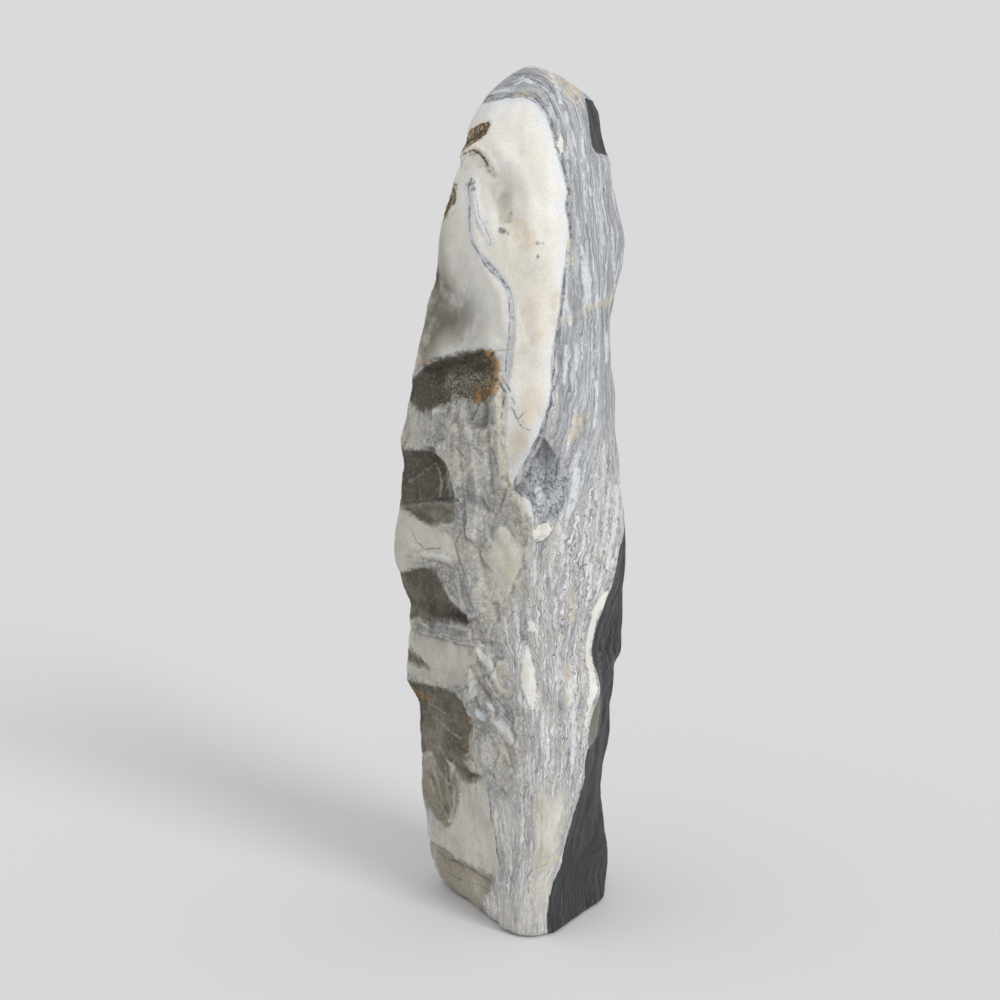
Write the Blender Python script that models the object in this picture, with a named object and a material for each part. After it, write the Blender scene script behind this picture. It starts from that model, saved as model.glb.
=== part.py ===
"""A standing block of banded marble: one solid stone, 1.6 m tall, on a flat broken foot.

The block stands on z = 0. It is lofted through rails, the standing edges of its rough
section, and its broken hollows are then cut into the flanks. Lengths are in metres, +X is
to the right of the front, and the front faces -Y.
"""

import math
from dataclasses import dataclass

import bmesh
import bpy
import numpy as np
from mathutils import Vector, noise

HEIGHT = 1.60
COLUMNS = 300  # points round a section
ROWS = 320  # sections up the block
CRISP_ROUNDING = 0.009  # rounding of the section at a crisp rail
SOFT_ROUNDING = 0.042  # and at a soft one
FOOT_ROUNDING = 0.016  # radius of the rim round the foot
FOOT_FLATNESS = 0.001  # what is lower than this belongs to the flat foot
TRIANGLES = 9000  # facets that the finished block keeps

# Each rail is (height, across, depth), from the foot to the top. They are listed in order
# round the section, seen from above: the nose nearest the front, then the right side.
RAILS = {
    "nose": [
        (0.00, 0.038, -0.222), (0.11, 0.040, -0.212), (0.26, 0.052, -0.198),
        (0.45, 0.060, -0.188), (0.64, 0.068, -0.182), (0.82, 0.074, -0.176),
        (1.00, 0.074, -0.168), (1.18, 0.074, -0.160), (1.35, 0.074, -0.140),
        (1.46, 0.068, -0.108), (1.53, 0.063, -0.070), (1.58, 0.058, -0.026),
        (1.60, 0.055, 0.010),
    ],
    "front_swell": [
        (0.00, 0.078, -0.196), (0.12, 0.086, -0.184), (0.30, 0.122, -0.164),
        (0.52, 0.134, -0.150), (0.75, 0.162, -0.136), (0.95, 0.156, -0.126),
        (1.18, 0.148, -0.118), (1.36, 0.146, -0.102), (1.46, 0.126, -0.084),
        (1.54, 0.098, -0.052), (1.58, 0.075, -0.018), (1.60, 0.058, 0.010),
    ],
    "front_edge": [
        (0.00, 0.113, -0.167), (0.06, 0.096, -0.160), (0.12, 0.110, -0.146),
        (0.24, 0.152, -0.126), (0.34, 0.166, -0.112), (0.40, 0.173, -0.102),
        (0.45, 0.186, -0.090), (0.525, 0.172, -0.090), (0.60, 0.193, -0.082),
        (0.73, 0.227, -0.052), (0.80, 0.228, -0.042), (0.92, 0.219, -0.032),
        (1.10, 0.206, -0.030), (1.18, 0.216, -0.030), (1.274, 0.236, -0.022),
        (1.36, 0.209, -0.028), (1.431, 0.196, -0.030), (1.437, 0.176, -0.040),
        (1.52, 0.159, -0.040), (1.54, 0.152, -0.030), (1.572, 0.122, -0.010),
        (1.59, 0.090, 0.000), (1.60, 0.060, 0.010),
    ],
    "right_side": [
        (0.00, 0.219, 0.000), (0.07, 0.221, 0.020), (0.22, 0.205, 0.040),
        (0.31, 0.220, 0.040), (0.51, 0.244, 0.038), (0.73, 0.242, 0.030),
        (0.85, 0.230, 0.035), (1.10, 0.207, 0.050), (1.27, 0.223, 0.055),
        (1.44, 0.208, 0.045), (1.50, 0.198, 0.045), (1.54, 0.176, 0.040),
        (1.57, 0.133, 0.030), (1.59, 0.090, 0.022), (1.60, 0.060, 0.020),
    ],
    "back_right": [
        (0.00, 0.150, 0.165), (0.20, 0.160, 0.165), (0.40, 0.175, 0.160),
        (0.65, 0.190, 0.150), (0.90, 0.180, 0.150), (1.10, 0.165, 0.135),
        (1.30, 0.160, 0.125), (1.45, 0.140, 0.105), (1.55, 0.102, 0.070),
        (1.60, 0.062, 0.028),
    ],
    "back": [
        (0.00, 0.020, 0.190), (0.25, 0.030, 0.200), (0.55, 0.040, 0.190),
        (0.80, 0.035, 0.175), (1.05, 0.040, 0.165), (1.30, 0.050, 0.140),
        (1.45, 0.055, 0.105), (1.55, 0.056, 0.062), (1.60, 0.055, 0.030),
    ],
    "back_left": [
        (0.00, -0.085, 0.170), (0.20, -0.110, 0.165), (0.45, -0.120, 0.160),
        (0.70, -0.135, 0.150), (0.95, -0.120, 0.140), (1.15, -0.085, 0.125),
        (1.35, -0.040, 0.100), (1.48, 0.000, 0.070), (1.56, 0.024, 0.045),
        (1.60, 0.049, 0.024),
    ],
    "left_side": [
        (0.00, -0.129, 0.096), (0.04, -0.147, 0.090), (0.09, -0.155, 0.096),
        (0.22, -0.170, 0.086), (0.385, -0.179, 0.058), (0.43, -0.192, 0.054),
        (0.49, -0.192, 0.064), (0.57, -0.186, 0.052), (0.63, -0.203, 0.040),
        (0.70, -0.214, 0.038), (0.80, -0.209, 0.056), (0.885, -0.205, 0.064),
        (0.98, -0.190, 0.048), (1.10, -0.167, 0.056), (1.25, -0.137, 0.038),
        (1.35, -0.114, 0.038), (1.41, -0.093, 0.026), (1.50, -0.065, 0.022),
        (1.54, -0.044, 0.020), (1.575, -0.004, 0.020), (1.592, 0.027, 0.019),
        (1.60, 0.048, 0.018),
    ],
    "left_ridge": [
        (0.00, -0.002, -0.150), (0.055, -0.010, -0.152), (0.134, -0.012, -0.148),
        (0.26, -0.021, -0.138), (0.40, -0.048, -0.130), (0.55, -0.058, -0.130),
        (0.70, -0.084, -0.114), (0.81, -0.086, -0.112), (0.92, -0.058, -0.120),
        (1.07, -0.023, -0.128), (1.18, -0.025, -0.120), (1.28, -0.042, -0.108),
        (1.37, -0.052, -0.092), (1.444, -0.040, -0.070), (1.516, -0.012, -0.045),
        (1.56, 0.015, -0.020), (1.59, 0.040, 0.005), (1.60, 0.052, 0.012),
    ],
}

# How soft the section is at each rail, from 0, a crisp edge, to 1, well rounded.
SOFTNESS = {
    "nose": 1.0, "front_swell": 0.7, "front_edge": 0.2, "right_side": 0.5,
    "back_right": 0.5, "back": 0.7, "back_left": 0.5, "left_side": 0.5,
    "left_ridge": 0.5,
}


@dataclass
class Hollow:
    """A broken hollow: it steps in along its outline, and its floor runs out away from the lip."""

    facing: tuple  # the flank that it is in, as a direction seen from above
    outline: list  # (across, height) round its rim, as that flank is looked at
    depth: float
    run_out: tuple  # (across, height) of the way that the floor rises in
    rim: float = 0.012  # width of the step in along the outline
    power: float = 1.2  # how soon the floor rises
    strays: float = 0.007  # how far the outline strays from its corners


@dataclass
class Dish:
    """A soft dent with no rim."""

    facing: tuple
    centre: tuple  # (across, height)
    spread: tuple  # its reach across and up
    depth: float


FRONT = (0.0, -1.0)
LEFT_FLANK = (-0.80, -0.60)
RIGHT_FLANK = (1.0, 0.05)
BACK = (0.0, 1.0)

HOLLOWS = {
    "pit_by_the_cap": Hollow(
        LEFT_FLANK,
        [(-0.012, 1.502), (-0.030, 1.490), (-0.050, 1.477), (-0.075, 1.462),
         (-0.080, 1.445), (-0.058, 1.453), (-0.034, 1.467), (-0.016, 1.484)],
        depth=0.014, run_out=(1.0, 0.6), rim=0.006, power=0.6,
    ),
    "crease": Hollow(
        LEFT_FLANK,
        [(-0.130, 1.400), (-0.076, 1.431), (-0.064, 1.441), (-0.050, 1.446), (-0.036, 1.441),
         (-0.026, 1.424), (-0.017, 1.408), (-0.040, 1.370), (-0.130, 1.360)],
        depth=0.009, run_out=(0.0, -1.0), rim=0.006,
    ),
    "side_chip": Hollow(
        LEFT_FLANK,
        [(-0.170, 1.390), (-0.090, 1.388), (-0.076, 1.360), (-0.082, 1.330),
         (-0.105, 1.310), (-0.170, 1.300)],
        depth=0.009, run_out=(-1.0, -0.2), rim=0.006, power=0.6,
    ),
    "upper_pocket": Hollow(
        LEFT_FLANK,
        [(-0.240, 0.990), (-0.200, 1.003), (-0.168, 1.020), (-0.144, 1.048), (-0.113, 1.063),
         (-0.073, 1.073), (-0.036, 1.083), (-0.013, 1.063), (-0.011, 1.000), (-0.020, 0.945),
         (-0.037, 0.938), (-0.092, 0.945), (-0.130, 0.966), (-0.172, 0.963), (-0.240, 0.950)],
        depth=0.032, run_out=(-0.75, -0.45), power=1.3,
    ),
    "middle_pocket": Hollow(
        LEFT_FLANK,
        [(-0.250, 0.872), (-0.190, 0.876), (-0.150, 0.900), (-0.120, 0.900), (-0.100, 0.885),
         (-0.092, 0.850), (-0.088, 0.802), (-0.140, 0.799), (-0.192, 0.784), (-0.250, 0.775)],
        depth=0.030, run_out=(-1.0, 0.0), power=1.2,
    ),
    "under_the_lip": Hollow(
        LEFT_FLANK,
        [(-0.250, 0.776), (-0.192, 0.776), (-0.140, 0.790), (-0.086, 0.793), (-0.094, 0.768),
         (-0.130, 0.748), (-0.162, 0.760), (-0.190, 0.764), (-0.250, 0.764)],
        depth=0.018, run_out=(-0.4, 1.0), rim=0.008,
    ),
    "waist_pocket": Hollow(
        LEFT_FLANK,
        [(-0.250, 0.650), (-0.187, 0.655), (-0.165, 0.670), (-0.140, 0.680), (-0.116, 0.660),
         (-0.087, 0.636), (-0.066, 0.604), (-0.050, 0.580), (-0.080, 0.575), (-0.112, 0.572),
         (-0.158, 0.580), (-0.180, 0.570), (-0.250, 0.560)],
        depth=0.032, run_out=(-1.0, 0.15), power=1.0,
    ),
    "under_the_ledge": Hollow(
        LEFT_FLANK,
        [(-0.165, 0.558), (-0.112, 0.541), (-0.050, 0.548), (-0.046, 0.520), (-0.110, 0.500),
         (-0.175, 0.515)],
        depth=0.010, run_out=(0.0, -1.0), rim=0.006,
    ),
    "wedge": Hollow(
        LEFT_FLANK,
        [(-0.240, 0.502), (-0.181, 0.502), (-0.155, 0.488), (-0.130, 0.470), (-0.160, 0.463),
         (-0.183, 0.463), (-0.240, 0.463)],
        depth=0.013, run_out=(-1.0, -0.6), rim=0.007, power=0.8,
    ),
    "lower_pocket": Hollow(
        LEFT_FLANK,
        [(-0.250, 0.435), (-0.178, 0.430), (-0.114, 0.445), (-0.083, 0.443), (-0.060, 0.413),
         (-0.048, 0.391), (-0.056, 0.321), (-0.068, 0.294), (-0.042, 0.292), (-0.048, 0.268),
         (-0.067, 0.262), (-0.085, 0.271), (-0.094, 0.215), (-0.104, 0.160), (-0.135, 0.185),
         (-0.165, 0.225), (-0.250, 0.250)],
        depth=0.034, run_out=(-0.75, -0.50), power=1.2,
    ),
    "foot_facet": Hollow(
        LEFT_FLANK,
        [(-0.220, 0.104), (-0.150, 0.100), (-0.078, 0.094), (-0.016, 0.099), (-0.010, 0.070),
         (0.001, 0.020), (0.008, -0.030), (-0.220, -0.030)],
        depth=0.012, run_out=(0.0, -1.0), rim=0.010, power=0.9,
    ),
    "breast_scar": Hollow(
        FRONT,
        [(0.071, 0.937), (0.095, 0.917), (0.114, 0.885), (0.123, 0.853), (0.116, 0.800),
         (0.100, 0.773), (0.070, 0.775), (0.055, 0.802), (0.043, 0.833), (0.022, 0.836),
         (0.036, 0.870), (0.055, 0.907)],
        depth=0.009, run_out=(0.3, -1.0), rim=0.008, power=0.8,
    ),
    "right_chip": Hollow(
        RIGHT_FLANK,
        [(-0.035, 0.470), (0.030, 0.500), (0.085, 0.460), (0.100, 0.360), (0.050, 0.300),
         (-0.020, 0.330), (-0.060, 0.400)],
        depth=0.013, run_out=(0.2, -1.0), rim=0.022, strays=0.022,
    ),
    "right_top_chip": Hollow(
        RIGHT_FLANK,
        [(-0.010, 1.300), (0.050, 1.325), (0.095, 1.260), (0.085, 1.120), (0.030, 1.080),
         (-0.010, 1.150)],
        depth=0.012, run_out=(-0.2, -1.0), rim=0.020, strays=0.022,
    ),
    "back_top_scar": Hollow(
        BACK,
        [(-0.060, 1.310), (0.030, 1.375), (0.100, 1.350), (0.125, 1.180), (0.060, 1.080),
         (-0.030, 1.150)],
        depth=0.020, run_out=(0.3, -1.0), rim=0.034, strays=0.030,
    ),
    "back_middle_scar": Hollow(
        BACK,
        [(-0.130, 0.930), (-0.050, 1.020), (0.075, 0.985), (0.090, 0.790), (0.020, 0.660),
         (-0.110, 0.720)],
        depth=0.026, run_out=(0.5, -0.8), rim=0.040, strays=0.034,
    ),
    "back_side_scar": Hollow(
        BACK,
        [(0.070, 0.630), (0.165, 0.720), (0.230, 0.560), (0.160, 0.380), (0.065, 0.460)],
        depth=0.017, run_out=(-0.3, -1.0), rim=0.030, strays=0.030,
    ),
    "back_foot_scar": Hollow(
        BACK,
        [(-0.130, 0.370), (-0.010, 0.470), (0.085, 0.330), (0.030, 0.170), (-0.090, 0.130)],
        depth=0.021, run_out=(-0.5, -0.9), rim=0.030, strays=0.030,
    ),
}

DISHES = {
    "shoulder": Dish(LEFT_FLANK, (-0.100, 1.165), (0.050, 0.075), 0.016),
    "breast": Dish(FRONT, (0.000, 1.350), (0.040, 0.065), 0.012),
    "waist": Dish(FRONT, (-0.010, 0.615), (0.050, 0.070), 0.009),
    "foot": Dish(LEFT_FLANK, (-0.085, 0.165), (0.045, 0.055), 0.008),
    "back_waist": Dish(BACK, (-0.050, 0.580), (0.060, 0.090), 0.012),
}


def clear_scene():
    """Removes whatever the scene starts with."""
    for old in list(bpy.data.objects):
        bpy.data.objects.remove(old)


def eased(value):
    """0 below 0, 1 above 1, and a smooth rise between."""
    t = np.clip(value, 0.0, 1.0)
    return t * t * (3.0 - 2.0 * t)


def rail_curve(points, heights):
    """Across and depth of a rail at these heights, on a curve that never overshoots its points."""
    table = np.array(points)
    z, values = table[:, 0], table[:, 1:]
    steps = np.diff(z)[:, None]
    slopes = np.diff(values, axis=0) / steps
    tangents = np.zeros_like(values)
    tangents[0], tangents[-1] = slopes[0], slopes[-1]
    same_way = slopes[:-1] * slopes[1:] > 0
    safe_sum = np.where(same_way, slopes[:-1] + slopes[1:], 1.0)
    tangents[1:-1] = np.where(same_way, 2 * slopes[:-1] * slopes[1:] / safe_sum, 0.0)
    low = np.clip(np.searchsorted(z, heights, side="right") - 1, 0, len(z) - 2)
    step = steps[low]
    t = ((heights - z[low])[:, None]) / step
    return (
        (2 * t**3 - 3 * t**2 + 1) * values[low]
        + (t**3 - 2 * t**2 + t) * step * tangents[low]
        + (3 * t**2 - 2 * t**3) * values[low + 1]
        + (t**3 - t**2) * step * tangents[low + 1]
    )


def rounded(ring, girth, rounding):
    """The closed ring with its corners rounded over about this length."""
    steps = np.arange(COLUMNS)
    reach = np.minimum(steps, COLUMNS - steps) * girth / COLUMNS
    kernel = np.exp(-0.5 * (reach / min(rounding, girth / 16)) ** 2)
    spectrum = np.fft.rfft(kernel / kernel.sum())
    smooth = [np.fft.irfft(np.fft.rfft(ring[:, k]) * spectrum, COLUMNS) for k in (0, 1)]
    return np.stack(smooth, axis=1)


def section(corners):
    """COLUMNS points evenly round the polygon of these corners, each corner rounded as SOFTNESS says."""
    closed = np.vstack([corners, corners[:1]])
    along = np.concatenate([[0.0], np.cumsum(np.linalg.norm(np.diff(closed, axis=0), axis=1))])
    girth = along[-1]
    places = np.arange(COLUMNS) * girth / COLUMNS
    ring = np.stack([np.interp(places, along, closed[:, k]) for k in (0, 1)], axis=1)
    softness = list(SOFTNESS.values())
    soft_share = np.interp(places, along, softness + softness[:1])[:, None]
    crisp = rounded(ring, girth, CRISP_ROUNDING)
    soft = rounded(ring, girth, SOFT_ROUNDING)
    return crisp + soft_share * (soft - crisp)


def outward_normals(ring):
    """Unit normals of a section, seen from above, pointing out of the stone."""
    along = np.roll(ring, -3, axis=0) - np.roll(ring, 3, axis=0)
    normals = np.stack([along[:, 1], -along[:, 0]], axis=1)
    return normals / np.linalg.norm(normals, axis=1, keepdims=True)


def sideways_on(facing, ring):
    """The coordinate that runs across the view of a flank."""
    return ring[:, 1] if abs(facing[0]) > 0.9 else ring[:, 0]


def towards(facing, normals):
    """1 where the surface looks the way that a flank does, 0 where it has turned from it."""
    way = np.array(facing) / np.linalg.norm(facing)
    return eased((normals @ way - 0.68) / 0.2)


def inside_distance(outline, across, height):
    """Distance from each point in to the nearest side of an outline, negative outside it."""
    nearest = np.full(len(across), 1e9)
    winding = np.zeros(len(across), bool)
    for (x0, z0), (x1, z1) in zip(outline, outline[1:] + outline[:1]):
        side = np.array([x1 - x0, z1 - z0])
        share = ((across - x0) * side[0] + (height - z0) * side[1]) / (side @ side)
        share = np.clip(share, 0.0, 1.0)
        gap = np.hypot(across - x0 - share * side[0], height - z0 - share * side[1])
        nearest = np.minimum(nearest, gap)
        if z0 != z1:
            crossing = x0 + (height - z0) / (z1 - z0) * (x1 - x0)
            winding ^= ((z0 > height) != (z1 > height)) & (across < crossing)
    return np.where(winding, nearest, -nearest)


def hollow_depth(hollow, ring, normals, height, wander):
    """How far a hollow cuts into each point of a section at this height."""
    across = sideways_on(hollow.facing, ring) + hollow.strays * wander[:, 0]
    up = height + hollow.strays * wander[:, 1]
    rim = hollow.rim * (1.0 + 0.8 * wander[:, 2])
    step = eased(inside_distance(hollow.outline, across, up) / rim)
    corners = np.array(hollow.outline)
    way = np.array(hollow.run_out) / np.linalg.norm(hollow.run_out)
    reach = corners @ way
    share = (across * way[0] + up * way[1] - reach.min()) / (reach.max() - reach.min())
    floor = (1.0 - np.clip(share, 0.0, 1.0)) ** hollow.power * (1.0 + 0.5 * wander[:, 2])
    return hollow.depth * step * floor * towards(hollow.facing, normals)


def dish_depth(dish, ring, normals, height):
    """How far a dish dents each point of a section at this height."""
    across = (sideways_on(dish.facing, ring) - dish.centre[0]) / dish.spread[0]
    up = (height - dish.centre[1]) / dish.spread[1]
    return dish.depth * np.exp(-(across**2) - up**2) * towards(dish.facing, normals)


def wander_at(point):
    """Three small numbers that put a hollow's outline and floor out of true at a point."""
    places = [Vector((point.x + shift, point.y, point.z)) for shift in (0.0, 3.0, 6.0)]
    return [noise.noise(p * 17.0) + 0.5 * noise.noise(p * 47.0) for p in places]


def rough_grain(point):
    """Height of the weathered surface at a point: long lumps and split faces along the bedding."""
    stretched = Vector((point.x * 9.0, point.y * 9.0, point.z * 4.0))
    lumps = noise.fractal(stretched, 0.9, 2.1, 4, noise_basis="PERLIN_ORIGINAL")
    ribs = noise.noise(Vector((point.x * 42.0, point.y * 30.0, point.z * 5.0)))
    split = Vector((point.x * 15.0 + point.z * 3.0, point.y * 15.0, point.z * 8.0))
    cells = noise.voronoi(split, distance_metric="DISTANCE")[0]
    return 0.0050 * lumps + 0.0014 * ribs + 0.0060 * (cells[1] - cells[0] - 0.4)


def stone_sections():
    """The block's sections from foot to top, as rows of points in space."""
    heights = np.linspace(0.0, HEIGHT, ROWS)
    rails = np.stack([rail_curve(points, heights) for points in RAILS.values()], axis=1)
    rows = []
    for height, corners in zip(heights, rails):
        ring = section(corners)
        normals = outward_normals(ring)
        places = [Vector((x, y, height)) for x, y in ring]
        wander = np.array([wander_at(place) for place in places])
        cut = np.zeros(COLUMNS)
        for hollow in HOLLOWS.values():
            cut += hollow_depth(hollow, ring, normals, height, wander)
        for dish in DISHES.values():
            cut += dish_depth(dish, ring, normals, height)
        rough = np.array([rough_grain(place) for place in places])
        rim = FOOT_ROUNDING * (1.0 - math.sqrt(1.0 - max(0.0, 1.0 - height / FOOT_ROUNDING) ** 2))
        calm = eased((HEIGHT - height) / 0.06)
        ring = ring + normals * (rough * calm - cut * calm - rim)[:, None]
        rows.append(np.column_stack([ring, np.full(COLUMNS, height)]))
    return rows


def stone_mesh():
    """A closed mesh through the sections."""
    shape = bmesh.new()
    rings = [[shape.verts.new(point) for point in row] for row in stone_sections()]
    for lower, upper in zip(rings, rings[1:]):
        for k in range(COLUMNS):
            after = (k + 1) % COLUMNS
            shape.faces.new((lower[k], lower[after], upper[after], upper[k]))
    shape.faces.new(list(reversed(rings[0])))
    shape.faces.new(rings[-1])
    bmesh.ops.triangulate(shape, faces=shape.faces)
    bmesh.ops.recalc_face_normals(shape, faces=shape.faces)
    mesh = bpy.data.meshes.new("stone")
    shape.to_mesh(mesh)
    shape.free()
    return mesh


def stand_on_foot(mesh):
    """Makes the foot exactly flat and puts the middle of the stone's outline over the origin."""
    corners = np.array([vertex.co for vertex in mesh.vertices])
    middle = (corners.min(axis=0) + corners.max(axis=0)) / 2
    for vertex in mesh.vertices:
        vertex.co.x -= middle[0]
        vertex.co.y -= middle[1]
        if vertex.co.z < FOOT_FLATNESS:
            vertex.co.z = 0.0


def marble():
    """Pale grey marble with a weathered, matt face."""
    material = bpy.data.materials.new("banded_marble")
    material.use_nodes = True
    shader = material.node_tree.nodes["Principled BSDF"]
    shader.inputs["Base Color"].default_value = (0.52, 0.51, 0.48, 1.0)
    shader.inputs["Roughness"].default_value = 0.62
    shader.inputs["Metallic"].default_value = 0.0
    return material


def build_block():
    """The whole stone, thinned to facets that follow its form."""
    block = bpy.data.objects.new("marble_block", stone_mesh())
    bpy.context.scene.collection.objects.link(block)
    thin = block.modifiers.new("facets", "DECIMATE")
    thin.ratio = TRIANGLES / len(block.data.polygons)
    evaluated = block.evaluated_get(bpy.context.evaluated_depsgraph_get())
    facets = bpy.data.meshes.new_from_object(evaluated)
    block.modifiers.remove(thin)
    stand_on_foot(facets)
    facets.name = "marble_block"
    facets.materials.append(marble())
    block.data = facets
    return block


clear_scene()
build_block()
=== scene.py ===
"""Looks of the marble block: a tall broken piece of banded marble on its flat foot.

A cream shoulder, wavy grey layers, a dark flank and a rough broken left side. Sizes are in
metres. The marks on the face are laid out where the studio camera sees them, in its frame
of 1000 by 1000 pixels, and a sight line carries each of their points onto the stone.
"""

import logging
import math
from dataclasses import dataclass, field
from enum import Enum

import bpy
import numpy as np
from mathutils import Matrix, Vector, noise
from mathutils.bvhtree import BVHTree


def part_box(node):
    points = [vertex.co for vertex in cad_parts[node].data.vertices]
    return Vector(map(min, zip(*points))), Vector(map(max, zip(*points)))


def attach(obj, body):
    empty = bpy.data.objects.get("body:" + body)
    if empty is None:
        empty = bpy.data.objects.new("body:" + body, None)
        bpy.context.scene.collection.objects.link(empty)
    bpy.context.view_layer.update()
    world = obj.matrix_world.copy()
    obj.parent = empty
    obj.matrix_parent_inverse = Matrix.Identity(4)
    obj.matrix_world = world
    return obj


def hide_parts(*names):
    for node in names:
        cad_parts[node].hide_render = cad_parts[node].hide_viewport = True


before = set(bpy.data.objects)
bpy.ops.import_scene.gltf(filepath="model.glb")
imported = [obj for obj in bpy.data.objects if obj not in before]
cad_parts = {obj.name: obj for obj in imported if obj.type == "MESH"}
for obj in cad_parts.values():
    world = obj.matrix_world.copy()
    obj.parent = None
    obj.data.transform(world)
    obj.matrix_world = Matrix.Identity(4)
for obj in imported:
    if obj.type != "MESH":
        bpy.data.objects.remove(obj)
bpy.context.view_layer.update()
NODE = "marble_block"
BODY = "root"
SLOT = "banded_marble"
IN_FRONT = -1.0  # a place well in front of the stone

Pixel = tuple[int, int]
Colour = tuple[int, int, int]
Array = np.ndarray
Socket = bpy.types.NodeSocket


class Mark(Enum):
    """The marks that the stone's points carry, each by the name of its attribute."""

    LAYER = "layer"
    CREAM = "cream"
    SLAB = "slab"
    STAIN = "stain"
    TONE = "tone"
    SLATE = "slate"
    VEIL = "veil"
    VUG = "vug"
    DARK = "dark"
    BROWN = "brown"
    PALE = "pale"
    STREAK = "streak"
    ROUGH = "rough"
    INK_SIDE = "ink_side"
    INK_AWAY = "ink_away"
    CRYSTAL = "crystal"
    TAN = "tan"
    RUST = "rust"
    SHADE = "shade"
    MIST = "blue_grey_and_shade"
    GLOW = "pale_and_lit"
    FACET = "facet"
    EDGE = "edge"


@dataclass(frozen=True)
class Patch:
    """A patch of one kind of rock on the face.

    Attributes:
        mark: what the patch is made of.
        outline: its corners, as the camera sees them.
        through: whether it goes on through the stone to the back.
        tone: how light a stain is, from 0 to 1.
    """

    mark: Mark
    outline: tuple[Pixel, ...]
    through: bool = False
    tone: float = 0.0


@dataclass(frozen=True)
class Seam:
    """A thin dark line of clay between two layers.

    Attributes:
        path: its points, as the camera sees them.
        half_width: half of the line's width.
        depth: how deep the weather has opened it.
    """

    path: tuple[Pixel, ...]
    half_width: float = 0.0012
    depth: float = 0.0004


@dataclass(frozen=True)
class Spot:
    """A small blue-grey spot in the cream rock.

    Attributes:
        centre: its middle, as the camera sees it.
        radius: how far it reaches.
    """

    centre: Pixel
    radius: float


@dataclass(frozen=True)
class Swell:
    """A soft rise or hollow that follows a line on the face.

    Attributes:
        path: its line, as the camera sees it.
        reach: how far it spreads to each side, in metres.
        rise: how far it stands out, or falls back where it is below nought.
    """

    path: tuple[Pixel, ...]
    reach: float
    rise: float


@dataclass(frozen=True)
class Ledge:
    """A broken edge: the rock on the left of its line stands higher.

    Attributes:
        path: its line, as the camera sees it.
        rise: how much higher that side stands at the line, in metres.
        run: how far from the line the rise dies out.
    """

    path: tuple[Pixel, ...]
    rise: float
    run: float


# The rock that goes on through the stone to its back.
THROUGH = {
    Mark.CREAM: (
        (360, 385), (411, 381), (424, 367), (440, 358), (460, 354), (480, 350), (494, 352), (500, 366),
        (503, 382), (509, 392), (505, 405), (503, 422), (505, 440), (506, 460), (509, 480), (513, 487),
        (520, 473), (527, 460), (533, 447), (541, 427), (544, 413), (549, 402), (551, 385), (551, 362),
        (555, 335), (558, 315), (561, 298), (563, 275), (566, 256), (567, 240), (568, 222), (565, 208),
        (567, 192), (563, 175), (559, 160), (555, 148), (552, 135), (549, 122), (545, 113), (538, 104),
        (530, 98), (519, 97), (508, 98), (497, 101), (483, 104), (455, 110), (380, 115),
    ),
    # the dark flank: the stone's lower right side, partly dark rock, partly painted deep shade
    Mark.DARK: (
        (800, 360), (760, 410), (715, 440), (680, 448), (655, 472), (634, 496), (625, 518), (620, 545),
        (613, 580), (606, 602), (598, 620), (593, 638), (592, 655), (596, 670), (600, 686), (600, 700),
        (599, 715), (597, 735), (590, 745), (587, 752), (585, 765), (584, 782), (579, 797), (574, 812),
        (568, 832), (564, 850), (561, 866), (554, 880), (549, 897), (547, 915), (547, 934), (560, 960),
        (800, 960),
    ),
    Mark.ROUGH: (
        (470, 352), (500, 366), (503, 382), (509, 392), (505, 405), (503, 422), (505, 440), (506, 460),
        (509, 480), (516, 495), (527, 508), (530, 525), (530, 545), (527, 570), (520, 590), (512, 605),
        (505, 620), (503, 640), (508, 655), (512, 680), (516, 700), (522, 720), (524, 745), (520, 770),
        (518, 790), (508, 796), (496, 790), (490, 776), (480, 779), (470, 783), (458, 797), (447, 828),
        (424, 815), (400, 800), (340, 800), (340, 380), (411, 380), (440, 356),
    ),
}

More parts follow.
